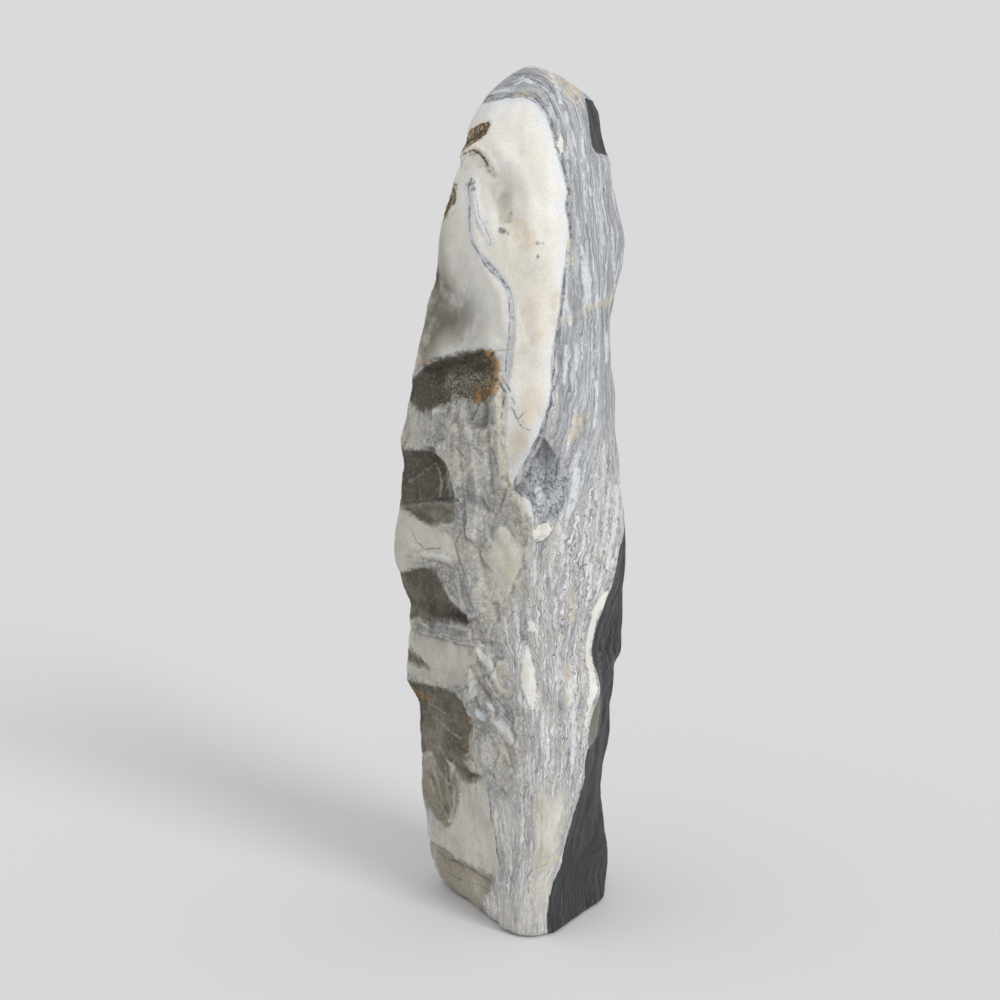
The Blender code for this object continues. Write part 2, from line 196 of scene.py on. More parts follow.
# The rock that lies on the face alone.
ON_THE_FACE = {
    Mark.SLAB: {
        "cheek": (
            (380, 512), (400, 510), (409, 512), (418, 518), (424, 526), (434, 528), (446, 531),
            (452, 540), (455, 552), (460, 566), (452, 566), (440, 562), (425, 560), (412, 568),
            (400, 576), (380, 580),
        ),
        "waist": (
            (408, 632), (420, 634), (436, 640), (452, 642), (472, 644), (480, 652), (476, 662),
            (468, 672), (462, 684), (450, 686), (436, 682), (420, 676), (400, 674), (390, 650),
        ),
        "foot_left": (
            (424, 815), (436, 822), (447, 828), (455, 812), (458, 797), (461, 784), (470, 781),
            (484, 777), (488, 790), (490, 812), (495, 838), (498, 858), (499, 872), (490, 876),
            (478, 869), (462, 861), (450, 853), (438, 846), (428, 836),
        ),
        "foot_right": (
            (533, 802), (537, 788), (543, 794), (549, 804), (556, 796), (563, 786), (566, 792),
            (562, 806), (558, 820), (553, 832), (554, 848), (552, 864), (543, 868), (535, 866),
            (532, 852), (536, 838), (532, 820),
        ),
        "breast": (
            (493, 536), (500, 526), (508, 530), (514, 541), (524, 550), (522, 565), (513, 583),
            (507, 600), (500, 596), (494, 575), (489, 555),
        ),
    },
    Mark.SLATE: {
        "wedge": (
            (541, 436), (548, 443), (556, 452), (563, 460), (569, 468), (570, 480), (567, 494),
            (563, 507), (556, 518), (549, 521), (541, 524), (536, 516), (533, 505), (529, 497),
            (521, 496), (516, 490), (514, 484), (520, 474), (527, 462), (534, 448),
        ),
    },
    Mark.DARK: {
        # painted deep shade in the notch where an outer sheet broke off
        "notch": (
            (800, 60), (640, 90), (606, 101), (592, 101), (585, 98), (588, 118), (590, 132), (592, 145),
            (596, 153), (606, 156), (640, 157), (800, 150),
        ),
    },
    Mark.BROWN: {
        # painted shade on the narrow facet where the lit front turns into the dark flank
        "facet": (
            (600, 692), (603, 702), (601, 718), (598, 735), (592, 748), (587, 747), (589, 728),
            (594, 708),
        ),
    },
    Mark.VUG: {
        "brow": (
            (456, 152), (463, 145), (466, 136), (471, 129), (479, 124), (489, 121), (491, 124),
            (487, 134), (480, 140), (473, 144), (466, 149), (456, 157),
        ),
        "side": (
            (430, 186), (452, 180), (457, 184), (457, 196), (455, 204), (450, 208), (446, 216),
            (441, 226), (430, 226),
        ),
        "crease": (
            (452, 164), (459, 158), (466, 152), (474, 149), (481, 152), (486, 158), (489, 166),
            (486, 163), (480, 155), (473, 151), (466, 154), (459, 160), (452, 167),
        ),
    },
    Mark.VEIL: {
        "vein": (
            (474, 236), (479, 246), (488, 257), (497, 267), (505, 276), (512, 288), (516, 302),
            (517, 318), (517, 334), (515, 356), (512, 376), (507, 392), (503, 384), (506, 368),
            (508, 350), (510, 320), (508, 303), (505, 292), (497, 281), (489, 271), (482, 263),
            (477, 254), (473, 244),
        ),
        "branch": (
            (473, 190), (475, 200), (477, 214), (482, 226), (486, 236), (490, 244), (485, 243),
            (480, 236), (475, 226), (472, 212), (471, 200),
        ),
    },
    Mark.PALE: {
        "flank_edge": (
            (608, 590), (604, 606), (597, 620), (593, 636), (591, 652), (594, 668), (599, 686),
            (594, 702), (589, 715), (586, 735), (583, 735), (585, 715), (588, 700), (590, 685),
            (587, 668), (585, 650), (588, 632), (592, 612), (600, 596),
        ),
        "long_lens": (
            (527, 643), (530, 650), (533, 661), (535, 672), (537, 684), (536, 693), (534, 702),
            (535, 714), (534, 726), (531, 729), (531, 714), (529, 704), (525, 694), (521, 686),
            (521, 676), (523, 664), (524, 652),
        ),
        "short_lens": (
            (530, 613), (533, 619), (536, 627), (538, 633), (530, 633), (527, 628), (528, 620),
        ),
        "shoulder_lens": (
            (560, 136), (564, 142), (563, 150), (560, 158), (556, 152), (555, 145), (557, 138),
        ),
        "arrow": ((530, 531), (538, 525), (547, 522), (553, 530), (549, 537), (542, 541), (534, 539)),
    },
    Mark.STREAK: {
        "upper_blade": (
            (476, 642), (484, 644), (491, 652), (496, 664), (498, 680), (494, 684), (487, 672),
            (480, 660), (475, 650),
        ),
        "lower_blade": (
            (494, 722), (502, 718), (509, 726), (515, 734), (516, 743), (510, 746), (502, 738),
            (496, 731),
        ),
        "left_chip": ((473, 708), (480, 707), (487, 713), (490, 720), (484, 724), (476, 718)),
        "right_chip": ((484, 702), (496, 704), (506, 710), (508, 717), (500, 716), (489, 709)),
        "sliver": ((470, 664), (474, 670), (473, 684), (469, 690), (466, 680)),
    },
}

# The weathered hollows, each with how light its stain is, from 0 to 1. Their dark colour is partly the
# rock's own stain and partly painted shade in the hollows.
STAINED_AND_SHADED_HOLLOWS = {
    "upper_pocket": (0.00, (
        (380, 400), (411, 379), (424, 366), (440, 358), (460, 353), (480, 349), (493, 352), (499, 362),
        (498, 380), (494, 394), (484, 404), (470, 403), (455, 396), (450, 402), (438, 405), (428, 412),
        (419, 410), (407, 402),
    )),
    "middle_pocket": (0.16, (
        (370, 456), (410, 449), (428, 449), (438, 453), (444, 462), (448, 475), (449, 488), (450, 502),
        (430, 504), (410, 507), (370, 512),
    )),
    "middle_floor": (0.42, (
        (398, 506), (425, 500), (450, 498), (457, 502), (456, 512), (447, 518), (440, 525), (428, 525),
        (420, 519), (410, 513),
    )),
    "waist_pocket": (0.26, (
        (370, 580), (408, 571), (420, 566), (432, 568), (440, 580), (447, 590), (452, 600), (463, 611),
        (470, 620), (469, 627), (455, 621), (440, 622), (428, 621), (419, 617), (408, 622), (370, 640),
    )),
    "waist_wedge": (0.40, (
        (380, 648), (410, 649), (417, 655), (427, 664), (430, 669), (418, 667), (404, 662), (380, 662),
    )),
    "lower_pocket": (0.40, (
        (380, 684), (412, 680), (428, 684), (444, 690), (456, 692), (464, 704), (471, 716), (474, 724),
        (468, 732), (469, 748), (467, 758), (471, 770), (486, 773), (479, 779), (468, 783), (460, 779),
        (455, 764), (447, 757), (450, 770), (449, 782), (440, 770), (432, 752), (426, 755), (420, 760),
        (380, 762),
    )),
    "lower_floor": (0.66, (
        (400, 764), (425, 758), (431, 752), (440, 772), (450, 784), (456, 768), (460, 780), (458, 797),
        (455, 812), (447, 828), (436, 818), (426, 800), (415, 790), (400, 786),
    )),
    "foot_facet": (1.00, (
        (410, 842), (433, 842), (444, 850), (460, 860), (476, 867), (492, 876), (493, 886), (486, 896),
        (482, 904), (488, 914), (484, 924), (466, 912), (446, 892), (434, 868),
    )),
}

PATCHES = (
    *(Patch(mark, outline, through=True) for mark, outline in THROUGH.items()),
    *(Patch(mark, outline) for mark, places in ON_THE_FACE.items() for outline in places.values()),
    *(Patch(Mark.STAIN, outline, tone=tone) for tone, outline in STAINED_AND_SHADED_HOLLOWS.values()),
)

SEAMS = (
    Seam(((468, 186), (470, 200), (469, 218), (470, 232), (473, 243), (477, 251),
          (483, 262), (490, 271), (498, 276), (503, 283), (507, 292), (509, 305), (510, 320),
          (509, 338), (507, 356), (505, 370)), 0.0016),
    Seam(((474, 188), (477, 203), (479, 216), (485, 227), (490, 238), (491, 245), (484, 246)),
         0.0007),
    Seam(((482, 256), (492, 266), (501, 276), (509, 288), (513, 302), (514, 320)), 0.0009),
    Seam(((484, 100), (490, 96), (500, 95), (508, 97), (514, 98), (524, 97), (533, 101),
          (540, 108), (547, 118), (551, 128))),
    Seam(((505, 86), (512, 84), (520, 80), (526, 76), (534, 80), (540, 86), (547, 94),
          (553, 106), (558, 120))),
    Seam(((514, 76), (522, 73), (532, 74), (541, 77), (548, 84), (555, 96), (560, 110))),
    Seam(((542, 424), (538, 437), (531, 450), (526, 461), (519, 472), (514, 484), (516, 491),
          (521, 494), (527, 498), (531, 502), (534, 512), (535, 524)), 0.0014),
    Seam(((546, 455), (546, 468), (545, 480), (546, 490), (541, 500), (537, 502))),
    Seam(((560, 452), (557, 464), (555, 478), (562, 486), (565, 497), (561, 512), (556, 522))),
    Seam(((529, 462), (531, 472), (529, 482), (530, 490), (527, 497))),
    Seam(((490, 774), (488, 790), (490, 806), (492, 820), (496, 836), (497, 852), (500, 862))),
    Seam(((419, 620), (427, 622), (434, 630), (445, 637), (458, 640), (470, 640)), 0.0012),
    Seam(((404, 503), (418, 502), (432, 500), (450, 499), (458, 500)), 0.0012, 0.003),
    Seam(((457, 499), (462, 505), (463, 515), (464, 526), (466, 537))),
    Seam(((456, 447), (461, 454), (465, 459)), 0.0010, 0.001),
    Seam(((413, 532), (417, 542), (425, 549), (440, 548)), 0.0010),
    Seam(((420, 563), (430, 560), (441, 563)), 0.0010),
    Seam(((500, 620), (504, 640), (512, 655), (516, 668)), 0.0009),
    Seam(((484, 690), (494, 700), (502, 712), (512, 722)), 0.0011),
    Seam(((508, 622), (512, 612), (517, 610), (520, 622), (521, 640), (518, 652)), 0.0009),
    Seam(((523, 790), (525, 805), (526, 820), (524, 835), (528, 848)), 0.0009),
    Seam(((532, 795), (531, 812), (533, 830), (534, 850)), 0.0009),
    Seam(((508, 868), (512, 880), (510, 895), (513, 910), (516, 925)), 0.0010),
    Seam(((532, 905), (528, 890), (527, 876), (534, 868), (545, 864)), 0.0010),
    Seam(((476, 652), (481, 668), (486, 682), (493, 695), (504, 706)), 0.0012),
    Seam(((437, 851), (450, 860), (470, 868), (492, 881)), 0.0012),
    Seam(((447, 872), (462, 880), (478, 884), (490, 890)), 0.0009),
    Seam(((530, 536), (536, 543), (545, 541), (552, 532)), 0.0009),
    Seam(((507, 385), (511, 394), (514, 402)), 0.0022),
    Seam(((512, 409), (517, 418), (521, 428)), 0.0020),
    Seam(((521, 427), (529, 430)), 0.0012),
    Seam(((518, 420), (524, 413)), 0.0014),
)

# The soft stains and streaks of each kind, each with how far it spreads to its sides and its line.
TINTS = {
    Mark.CRYSTAL: (
        (0.026, ((454, 384), (466, 378), (478, 378), (487, 386), (492, 398))),
        (0.020, ((462, 398), (476, 402), (490, 408))),
    ),
    Mark.STREAK: (
        (0.0034, ((577, 218), (580, 240), (583, 258))),
        (0.0078, ((583, 256), (586, 276), (589, 303))),
        (0.0036, ((582, 160), (584, 190), (586, 225))),
        (0.003, ((590, 187), (591, 196))),
        (0.0044, ((595, 292), (598, 300))),
        (0.0036, ((569, 230), (568, 262), (566, 290), (563, 316))),
        (0.0032, ((572, 170), (574, 194), (575, 218))),
        (0.0044, ((565, 300), (569, 312), (570, 326))),
        (0.0036, ((429, 752), (435, 773), (440, 786))),
        (0.004, ((440, 748), (451, 763), (456, 773))),
        (0.0036, ((423, 767), (431, 782), (435, 794))),
        (0.0034, ((433, 767), (439, 786), (442, 800))),
        (0.0036, ((446, 767), (447, 790), (449, 806))),
        (0.0032, ((437, 797), (444, 810), (450, 822))),
        (0.0034, ((455, 790), (453, 806), (450, 820))),
        (0.0034, ((436, 719), (447, 728), (460, 737))),
        (0.0028, ((427, 704), (436, 708), (446, 714))),
        (0.0024, ((410, 482), (422, 474), (432, 466))),
        (0.004, ((436, 464), (440, 472), (442, 484), (440, 494))),
        (0.007, ((412, 545), (425, 552), (446, 555))),
        (0.008, ((538, 490), (540, 500))),
        (0.006, ((526, 497), (530, 508), (532, 520))),
        (0.005, ((508, 646), (513, 655))),
        (0.0044, ((521, 690), (519, 700), (524, 706))),
        (0.0044, ((474, 700), (470, 690), (473, 680))),
        (0.0034, ((556, 664), (559, 690))),
        (0.0038, ((591, 560), (590, 584))),
        (0.0034, ((598, 566), (599, 590))),
        (0.0034, ((550, 568), (553, 590))),
        (0.0036, ((612, 228), (613, 258), (615, 288))),
        (0.0032, ((604, 270), (605, 296))),
        (0.0042, ((566, 112), (568, 126))),
        (0.0042, ((549, 108), (553, 121))),
        (0.0048, ((548, 70), (556, 85), (561, 103))),
        (0.0042, ((493, 93), (503, 90), (513, 90))),
        (0.006, ((515, 84), (523, 78), (530, 82))),
        (0.004, ((571, 130), (575, 146))),
        (0.0042, ((567, 148), (568, 176))),
        (0.004, ((582, 132), (584, 158))),
        (0.0042, ((596, 382), (597, 402), (594, 428))),
        (0.0078, ((577, 468), (575, 490), (570, 512))),
        (0.0052, ((570, 508), (565, 528), (560, 552))),
        (0.0066, ((616, 486), (617, 508), (612, 540), (607, 566))),
        (0.004, ((606, 330), (607, 362))),
        (0.0036, ((566, 346), (564, 384))),
        (0.0036, ((577, 338), (576, 372))),
        (0.0044, ((609, 480), (606, 520), (600, 556))),
        (0.0034, ((604, 440), (604, 466))),
        (0.003, ((586, 440), (584, 470))),
        (0.0032, ((599, 500), (596, 540))),
        (0.0042, ((586, 520), (582, 560))),
        (0.0042, ((558, 656), (561, 668), (564, 681))),
        (0.007, ((568, 682), (571, 704))),
        (0.0062, ((573, 712), (574, 736), (572, 762))),
        (0.006, ((514, 600), (518, 626))),
        (0.004, ((546, 640), (548, 662))),
        (0.0036, ((541, 700), (543, 740))),
        (0.0036, ((534, 560), (536, 592))),
    ),
    Mark.TAN: (
        (0.006, ((615, 292), (606, 301), (596, 304), (584, 311), (570, 317), (556, 324), (545, 331),
                 (532, 341), (520, 354))),
        (0.005, ((508, 400), (503, 418), (504, 432), (505, 450), (505, 468), (508, 484), (514, 495),
                 (519, 508), (523, 523), (520, 538))),
        (0.008, ((540, 866), (550, 860), (560, 856), (566, 855), (572, 860))),
        (0.014, ((553, 73), (560, 78), (567, 86), (575, 97))),
        (0.010, ((579, 418), (574, 430), (571, 440))),
        (0.007, ((570, 592), (569, 606), (570, 618))),
        (0.006, ((566, 668), (569, 684), (569, 700))),
        (0.003, ((514, 95), (524, 93), (534, 98))),
        (0.008, ((556, 296), (554, 312), (552, 330))),
        (0.006, ((570, 240), (571, 252), (571, 262))),
        (0.018, ((510, 218), (520, 232), (528, 244))),
        (0.007, ((500, 545), (508, 560), (512, 576))),
    ),
    Mark.RUST: (
        (0.011, ((487, 352), (492, 361), (497, 370), (499, 379))),
        (0.012, ((479, 396), (486, 389), (494, 385))),
        (0.004, ((463, 377), (466, 381))),
        (0.006, ((414, 690), (422, 694), (430, 700))),
        (0.003, ((469, 716), (472, 732), (470, 748))),
        (0.003, ((400, 500), (404, 507))),
        (0.005, ((416, 364), (426, 360))),
        (0.004, ((520, 530), (521, 538))),
    ),
}

# The soft clouds of each kind, each with its middle, how far it spreads
# across and up, and how strong it is in the middle, from 0 to 1. In part they are painted light and
# shade.
CLOUDS = {
    # painted shade: olive darkening on the left flank, in the dish and at the lower tip of the cream
    Mark.SHADE: (
        ((446, 298), (0.055, 0.060), 0.70), ((460, 322), (0.050, 0.048), 0.62),
        ((424, 340), (0.035, 0.080), 0.80), ((434, 245), (0.026, 0.110), 0.75),
        ((446, 292), (0.010, 0.012), 0.60), ((496, 192), (0.024, 0.052), 0.36),
        ((507, 206), (0.012, 0.036), 0.30), ((486, 172), (0.016, 0.016), 0.18),
        ((416, 300), (0.022, 0.140), 0.45), ((512, 470), (0.020, 0.045), 0.35),
        ((494, 360), (0.040, 0.025), 0.45), ((519, 442), (0.018, 0.030), 0.34),
        ((455, 500), (0.020, 0.030), 0.30),
    ),
    # blue-grey rock, partly painted shade on the broken facets and under the ledges
    Mark.MIST: (
        ((481, 500), (0.026, 0.024), 0.75), ((484, 424), (0.030, 0.040), 0.55),
        ((463, 590), (0.024, 0.060), 0.50), ((492, 650), (0.022, 0.060), 0.35),
        ((445, 430), (0.022, 0.022), 0.35), ((497, 720), (0.030, 0.050), 0.30),
        ((547, 457), (0.020, 0.034), 0.90), ((432, 627), (0.026, 0.010), 0.55),
        ((456, 631), (0.030, 0.011), 0.55), ((513, 400), (0.011, 0.030), 0.55),
    ),
    # paler rock, partly painted light on lit facets, the bulging cheek and the foot
    Mark.GLOW: (
        ((524, 508), (0.008, 0.024), 0.60), ((422, 425), (0.022, 0.026), 0.45),
        ((456, 430), (0.010, 0.070), 0.40), ((500, 440), (0.010, 0.100), 0.50),
        ((474, 540), (0.016, 0.040), 0.35), ((510, 568), (0.030, 0.062), 1.00),
        ((485, 660), (0.020, 0.026), 0.55), ((508, 738), (0.018, 0.026), 0.60),
        ((438, 545), (0.060, 0.026), 0.50), ((440, 655), (0.050, 0.016), 0.45),
        ((472, 826), (0.044, 0.064), 0.75), ((550, 828), (0.026, 0.056), 0.85),
        ((542, 884), (0.018, 0.030), 0.55), ((511, 822), (0.024, 0.050), 0.60),
        ((514, 916), (0.060, 0.038), 0.75), ((408, 530), (0.040, 0.036), 0.80),
        ((430, 540), (0.030, 0.020), 0.55), ((484, 574), (0.022, 0.050), 0.35),
        ((470, 466), (0.016, 0.040), 0.35), ((488, 470), (0.012, 0.040), 0.40),
        ((498, 610), (0.030, 0.040), 0.40), ((498, 764), (0.026, 0.034), 0.35),
        ((540, 885), (0.020, 0.040), 0.50),
    ),
}

SPOTS = (
    Spot((470, 184), 0.0075),
    Spot((473, 189), 0.0060),
    Spot((471, 179), 0.0040),
    Spot((487, 165), 0.0065),
    Spot((507, 218), 0.0070),
    Spot((510, 213), 0.0052),
    Spot((503, 231), 0.0060),
    Spot((536, 244), 0.0040),
    Spot((538, 257), 0.0046),
    Spot((447, 296), 0.0060),
)

SWELLS = (
    Swell(((494, 176), (499, 196), (503, 214)), 0.018, -0.0070),
    Swell(((509, 224), (520, 240)), 0.018, -0.0035),
    Swell(((464, 196), (470, 236), (482, 266), (500, 292), (506, 330)), 0.012, 0.0060),
    Swell(((498, 150), (518, 166), (529, 200), (531, 238)), 0.016, 0.0055),
    Swell(((460, 158), (474, 147), (488, 154), (495, 170)), 0.007, 0.0045),
    Swell(((464, 168), (477, 165)), 0.009, -0.0035),
    Swell(((478, 176), (482, 200), (486, 222)), 0.008, -0.0030),
    Swell(((470, 122), (490, 114), (512, 112)), 0.020, 0.0030),
    Swell(((430, 270), (446, 304), (462, 336)), 0.030, -0.0100),
    Swell(((428, 355), (448, 349), (470, 344)), 0.010, 0.0040),
    Swell(((548, 170), (553, 250), (542, 320), (534, 400)), 0.018, 0.0035),
    Swell(((584, 180), (590, 260), (586, 350), (582, 430)), 0.012, 0.0030),
    Swell(((600, 200), (603, 300), (596, 380)), 0.010, -0.0030),
    Swell(((462, 402), (472, 440), (478, 490), (476, 536)), 0.010, 0.0065),
    Swell(((458, 424), (461, 470), (465, 524)), 0.005, -0.0030),
    Swell(((488, 392), (489, 440), (491, 492)), 0.006, -0.0040),
    Swell(((496, 392), (499, 440), (503, 486)), 0.008, 0.0050),
    Swell(((462, 556), (474, 592), (490, 636)), 0.010, 0.0055),
    Swell(((478, 548), (488, 586), (498, 620)), 0.008, -0.0040),
    Swell(((500, 530), (514, 556), (512, 596)), 0.014, 0.0050),
    Swell(((478, 652), (492, 668), (502, 690)), 0.008, 0.0050),
    Swell(((470, 668), (484, 690), (496, 712)), 0.007, -0.0045),
    Swell(((492, 722), (506, 732), (517, 746)), 0.008, 0.0045),
    Swell(((484, 732), (496, 750), (508, 766)), 0.008, -0.0035),
    Swell(((416, 556), (432, 555), (448, 560)), 0.006, 0.0040),
    Swell(((450, 772), (446, 794), (440, 816)), 0.0045, 0.0035),
    Swell(((443, 764), (436, 786), (428, 802)), 0.0045, 0.0030),
    Swell(((456, 788), (452, 806), (448, 822)), 0.0040, 0.0030),
    Swell(((436, 700), (448, 722), (452, 748)), 0.010, 0.0035),
    Swell(((428, 716), (436, 740), (434, 752)), 0.007, -0.0030),
    Swell(((472, 800), (478, 826), (476, 850)), 0.016, 0.0035),
    Swell(((506, 800), (512, 840), (510, 880)), 0.010, -0.0035),
    Swell(((542, 790), (552, 820), (546, 866)), 0.014, 0.0040),
    Swell(((530, 560), (532, 640), (530, 730)), 0.012, 0.0025),
    Swell(((556, 540), (560, 640), (556, 740)), 0.010, -0.0025),
    Swell(((444, 862), (466, 878), (486, 896)), 0.010, 0.0030),
)

LEDGES = (
    Ledge(((408, 380), (424, 366), (440, 358), (462, 353), (492, 352)), 0.0035, 0.030),
    Ledge(((486, 404), (470, 402), (455, 395), (438, 404), (420, 411)), 0.0035, 0.022),
    Ledge(((493, 352), (500, 372), (503, 400), (504, 440), (506, 470)), 0.0030, 0.020),
    Ledge(((448, 455), (451, 480), (451, 500)), 0.0035, 0.018),
    Ledge(((404, 503), (426, 501), (450, 498)), 0.0030, 0.010),
    Ledge(((470, 627), (455, 621), (436, 620), (418, 617)), 0.0045, 0.018),
    Ledge(((472, 643), (452, 641), (436, 637), (414, 632)), 0.0035, 0.022),
    Ledge(((398, 556), (414, 558), (432, 562), (448, 564)), 0.0030, 0.014),
    Ledge(((444, 580), (455, 600), (470, 620)), 0.0035, 0.016),
    Ledge(((412, 679), (430, 684), (456, 691)), 0.0035, 0.020),
    Ledge(((458, 692), (471, 714), (474, 724), (468, 734), (469, 756), (486, 772)), 0.0045, 0.020),
    Ledge(((470, 781), (456, 768), (446, 757), (432, 752)), 0.0030, 0.012),
    Ledge(((462, 783), (458, 797), (455, 812), (447, 828)), 0.0030, 0.014),
    Ledge(((486, 776), (489, 800), (495, 838), (499, 872)), 0.0025, 0.018),
    Ledge(((430, 841), (446, 851), (462, 861), (480, 870), (494, 878)), 0.0040, 0.014),
    Ledge(((514, 490), (520, 474), (530, 456), (544, 434)), 0.0025, 0.014),
    Ledge(((521, 496), (530, 512), (540, 526)), 0.0025, 0.010),
    Ledge(((452, 545), (464, 572), (476, 604), (490, 640)), 0.0030, 0.014),
    Ledge(((478, 646), (492, 662), (503, 690)), 0.0030, 0.012),
)

# Where the same layer runs, from the left of the face to its right, each from the top down.
FLOWS = (
    ((410, 330), (409, 400), (404, 450), (412, 500), (420, 545), (440, 590), (446, 640),
     (448, 700), (452, 760), (450, 800), (446, 850), (452, 885)),
    ((492, 385), (490, 430), (472, 470), (458, 510), (462, 560), (480, 610), (492, 660),
     (505, 710), (500, 750), (489, 785), (492, 820), (497, 850), (500, 930)),
    ((552, 135), (556, 150), (563, 175), (567, 200), (567, 240), (563, 275), (560, 300),
     (555, 330), (551, 370), (548, 402), (542, 425), (532, 450), (524, 465), (518, 490),
     (524, 520), (523, 550), (517, 600), (519, 650), (522, 700), (523, 750), (524, 800),
     (526, 850), (516, 900), (513, 935)),
    ((583, 135), (586, 170), (590, 210), (595, 250), (599, 300), (600, 350), (598, 390),
     (593, 430), (583, 460), (573, 490), (566, 520), (558, 560), (555, 600), (557, 650),
     (556, 700), (555, 750), (550, 800), (545, 850), (531, 900), (528, 935)),
    ((606, 160), (609, 180), (613, 205), (621, 240), (615, 275), (609, 310), (607, 345),
     (609, 380), (612, 410), (615, 445), (617, 480), (619, 510), (611, 580), (597, 620),
     (590, 652), (595, 686), (588, 720), (584, 755), (582, 782), (573, 812), (565, 838),
     (560, 862), (549, 885), (545, 905), (544, 933)),
)
FLOW_STEP = 0.05  # how much of the layers lies between two flows, in metres
FIRST_FLOW = -2  # the third flow runs along the edge of the cream shoulder


def eased(value: Array) -> Array:
    """Eases 0 to 1 in and out, and holds what is outside."""
    held = np.clip(value, 0.0, 1.0)
    return held * held * (3.0 - 2.0 * held)


def inside_distance(outline: Array, places: Array) -> Array:
    """Measures how far places are inside a closed outline.

    Args:
        outline: the outline's corners, one row each.
        places: the places, one row each.

    Returns:
        The distance to the outline, positive inside it.
    """
    nearest = np.full(len(places), np.inf)
    inside = np.zeros(len(places), bool)
    for start, end in zip(outline, np.roll(outline, -1, axis=0)):
        edge = end - start
        along = np.clip((places - start) @ edge / (edge @ edge), 0.0, 1.0)
        gap = places - start - along[:, None] * edge
        nearest = np.minimum(nearest, np.hypot(gap[:, 0], gap[:, 1]))
        spans = (start[1] > places[:, 1]) != (end[1] > places[:, 1])
        if spans.any():
            crossing = start[0] + (places[:, 1] - start[1]) * edge[0] / edge[1]
            inside ^= spans & (places[:, 0] < crossing)
    return np.where(inside, nearest, -nearest)


def line_distance(path: Array, places: Array) -> tuple[Array, Array]:
    """Measures how far places are from an open line, and on which side.

    Args:
        path: the line's points, one row each.
        places: the places, one row each.

    Returns:
        The distance to the line, and 1 or -1 for the side.
    """
    nearest = np.full(len(places), np.inf)
    side = np.ones(len(places))
    for start, end in zip(path[:-1], path[1:]):
        edge = end - start
        along = np.clip((places - start) @ edge / (edge @ edge), 0.0, 1.0)
        gap = places - start - along[:, None] * edge
        reach = np.hypot(gap[:, 0], gap[:, 1])
        closer = reach < nearest
        turn = (places[:, 0] - start[0]) * edge[1] - (places[:, 1] - start[1]) * edge[0]
        side = np.where(closer, np.where(turn < 0.0, -1.0, 1.0), side)
        nearest = np.where(closer, reach, nearest)
    return nearest, side


def grain(points: Array, scale: float, octaves: int, seed: float) -> Array:
    """Samples fractal noise.

    Args:
        points: where, one row each.
        scale: how many waves fit in a metre.
        octaves: how many finer layers of noise are added.
        seed: shifts the noise, so that two uses differ.

    Returns:
        The noise, about -1 to 1.
    """
    shift = Vector((seed, 2.3 * seed, 3.7 * seed))
    return np.array([noise.fractal(Vector(p) * scale + shift, 0.9, 2.1, octaves) for p in points])


@dataclass(frozen=True)
class Sight:
    """The studio camera's place and lens, and the sight lines through its frame.

    Attributes:
        eye: where the camera is.
        pitch: how far it looks down.
        focal_pixels: its focal length, in pixels of the frame.
        middle: the frame's middle, in pixels.
        frame_pixels: the frame's width, in pixels.
        sensor: the sensor's width, in millimetres.
        farthest: how far the camera sees.
    """

    eye: tuple[float, float, float] = (-0.0185, -3.2983, 1.30)
    pitch: float = math.radians(8.70)
    focal_pixels: float = 1760.0
    middle: float = 500.0
    frame_pixels: float = 1000.0
    sensor: float = 36.0
    farthest: float = 100.0

    def line(self, pixel: Pixel) -> Vector:
        """Gives the direction from the eye through a pixel.

        Args:
            pixel: the place in the frame, from its top left.

        Returns:
            The direction, one metre long.
        """
        ahead = Vector((0.0, math.cos(self.pitch), -math.sin(self.pitch)))
        upward = Vector((0.0, math.sin(self.pitch), math.cos(self.pitch)))
        across = Vector((1.0, 0.0, 0.0))
        right = (pixel[0] - self.middle) / self.focal_pixels
        down = (pixel[1] - self.middle) / self.focal_pixels
        return (ahead + across * right - upward * down).normalized()

    def camera(self) -> bpy.types.Object:
        """Makes the scene's camera.

        Returns:
            The camera object.
        """
        bpy.ops.object.camera_add(location=self.eye, rotation=(math.pi / 2 - self.pitch, 0.0, 0.0))
        camera = bpy.context.object
        camera.name = "studio_camera"
        camera.data.sensor_width = self.sensor
        camera.data.lens = self.sensor * self.focal_pixels / self.frame_pixels
        camera.data.clip_end = self.farthest
        bpy.context.scene.camera = camera
        return camera


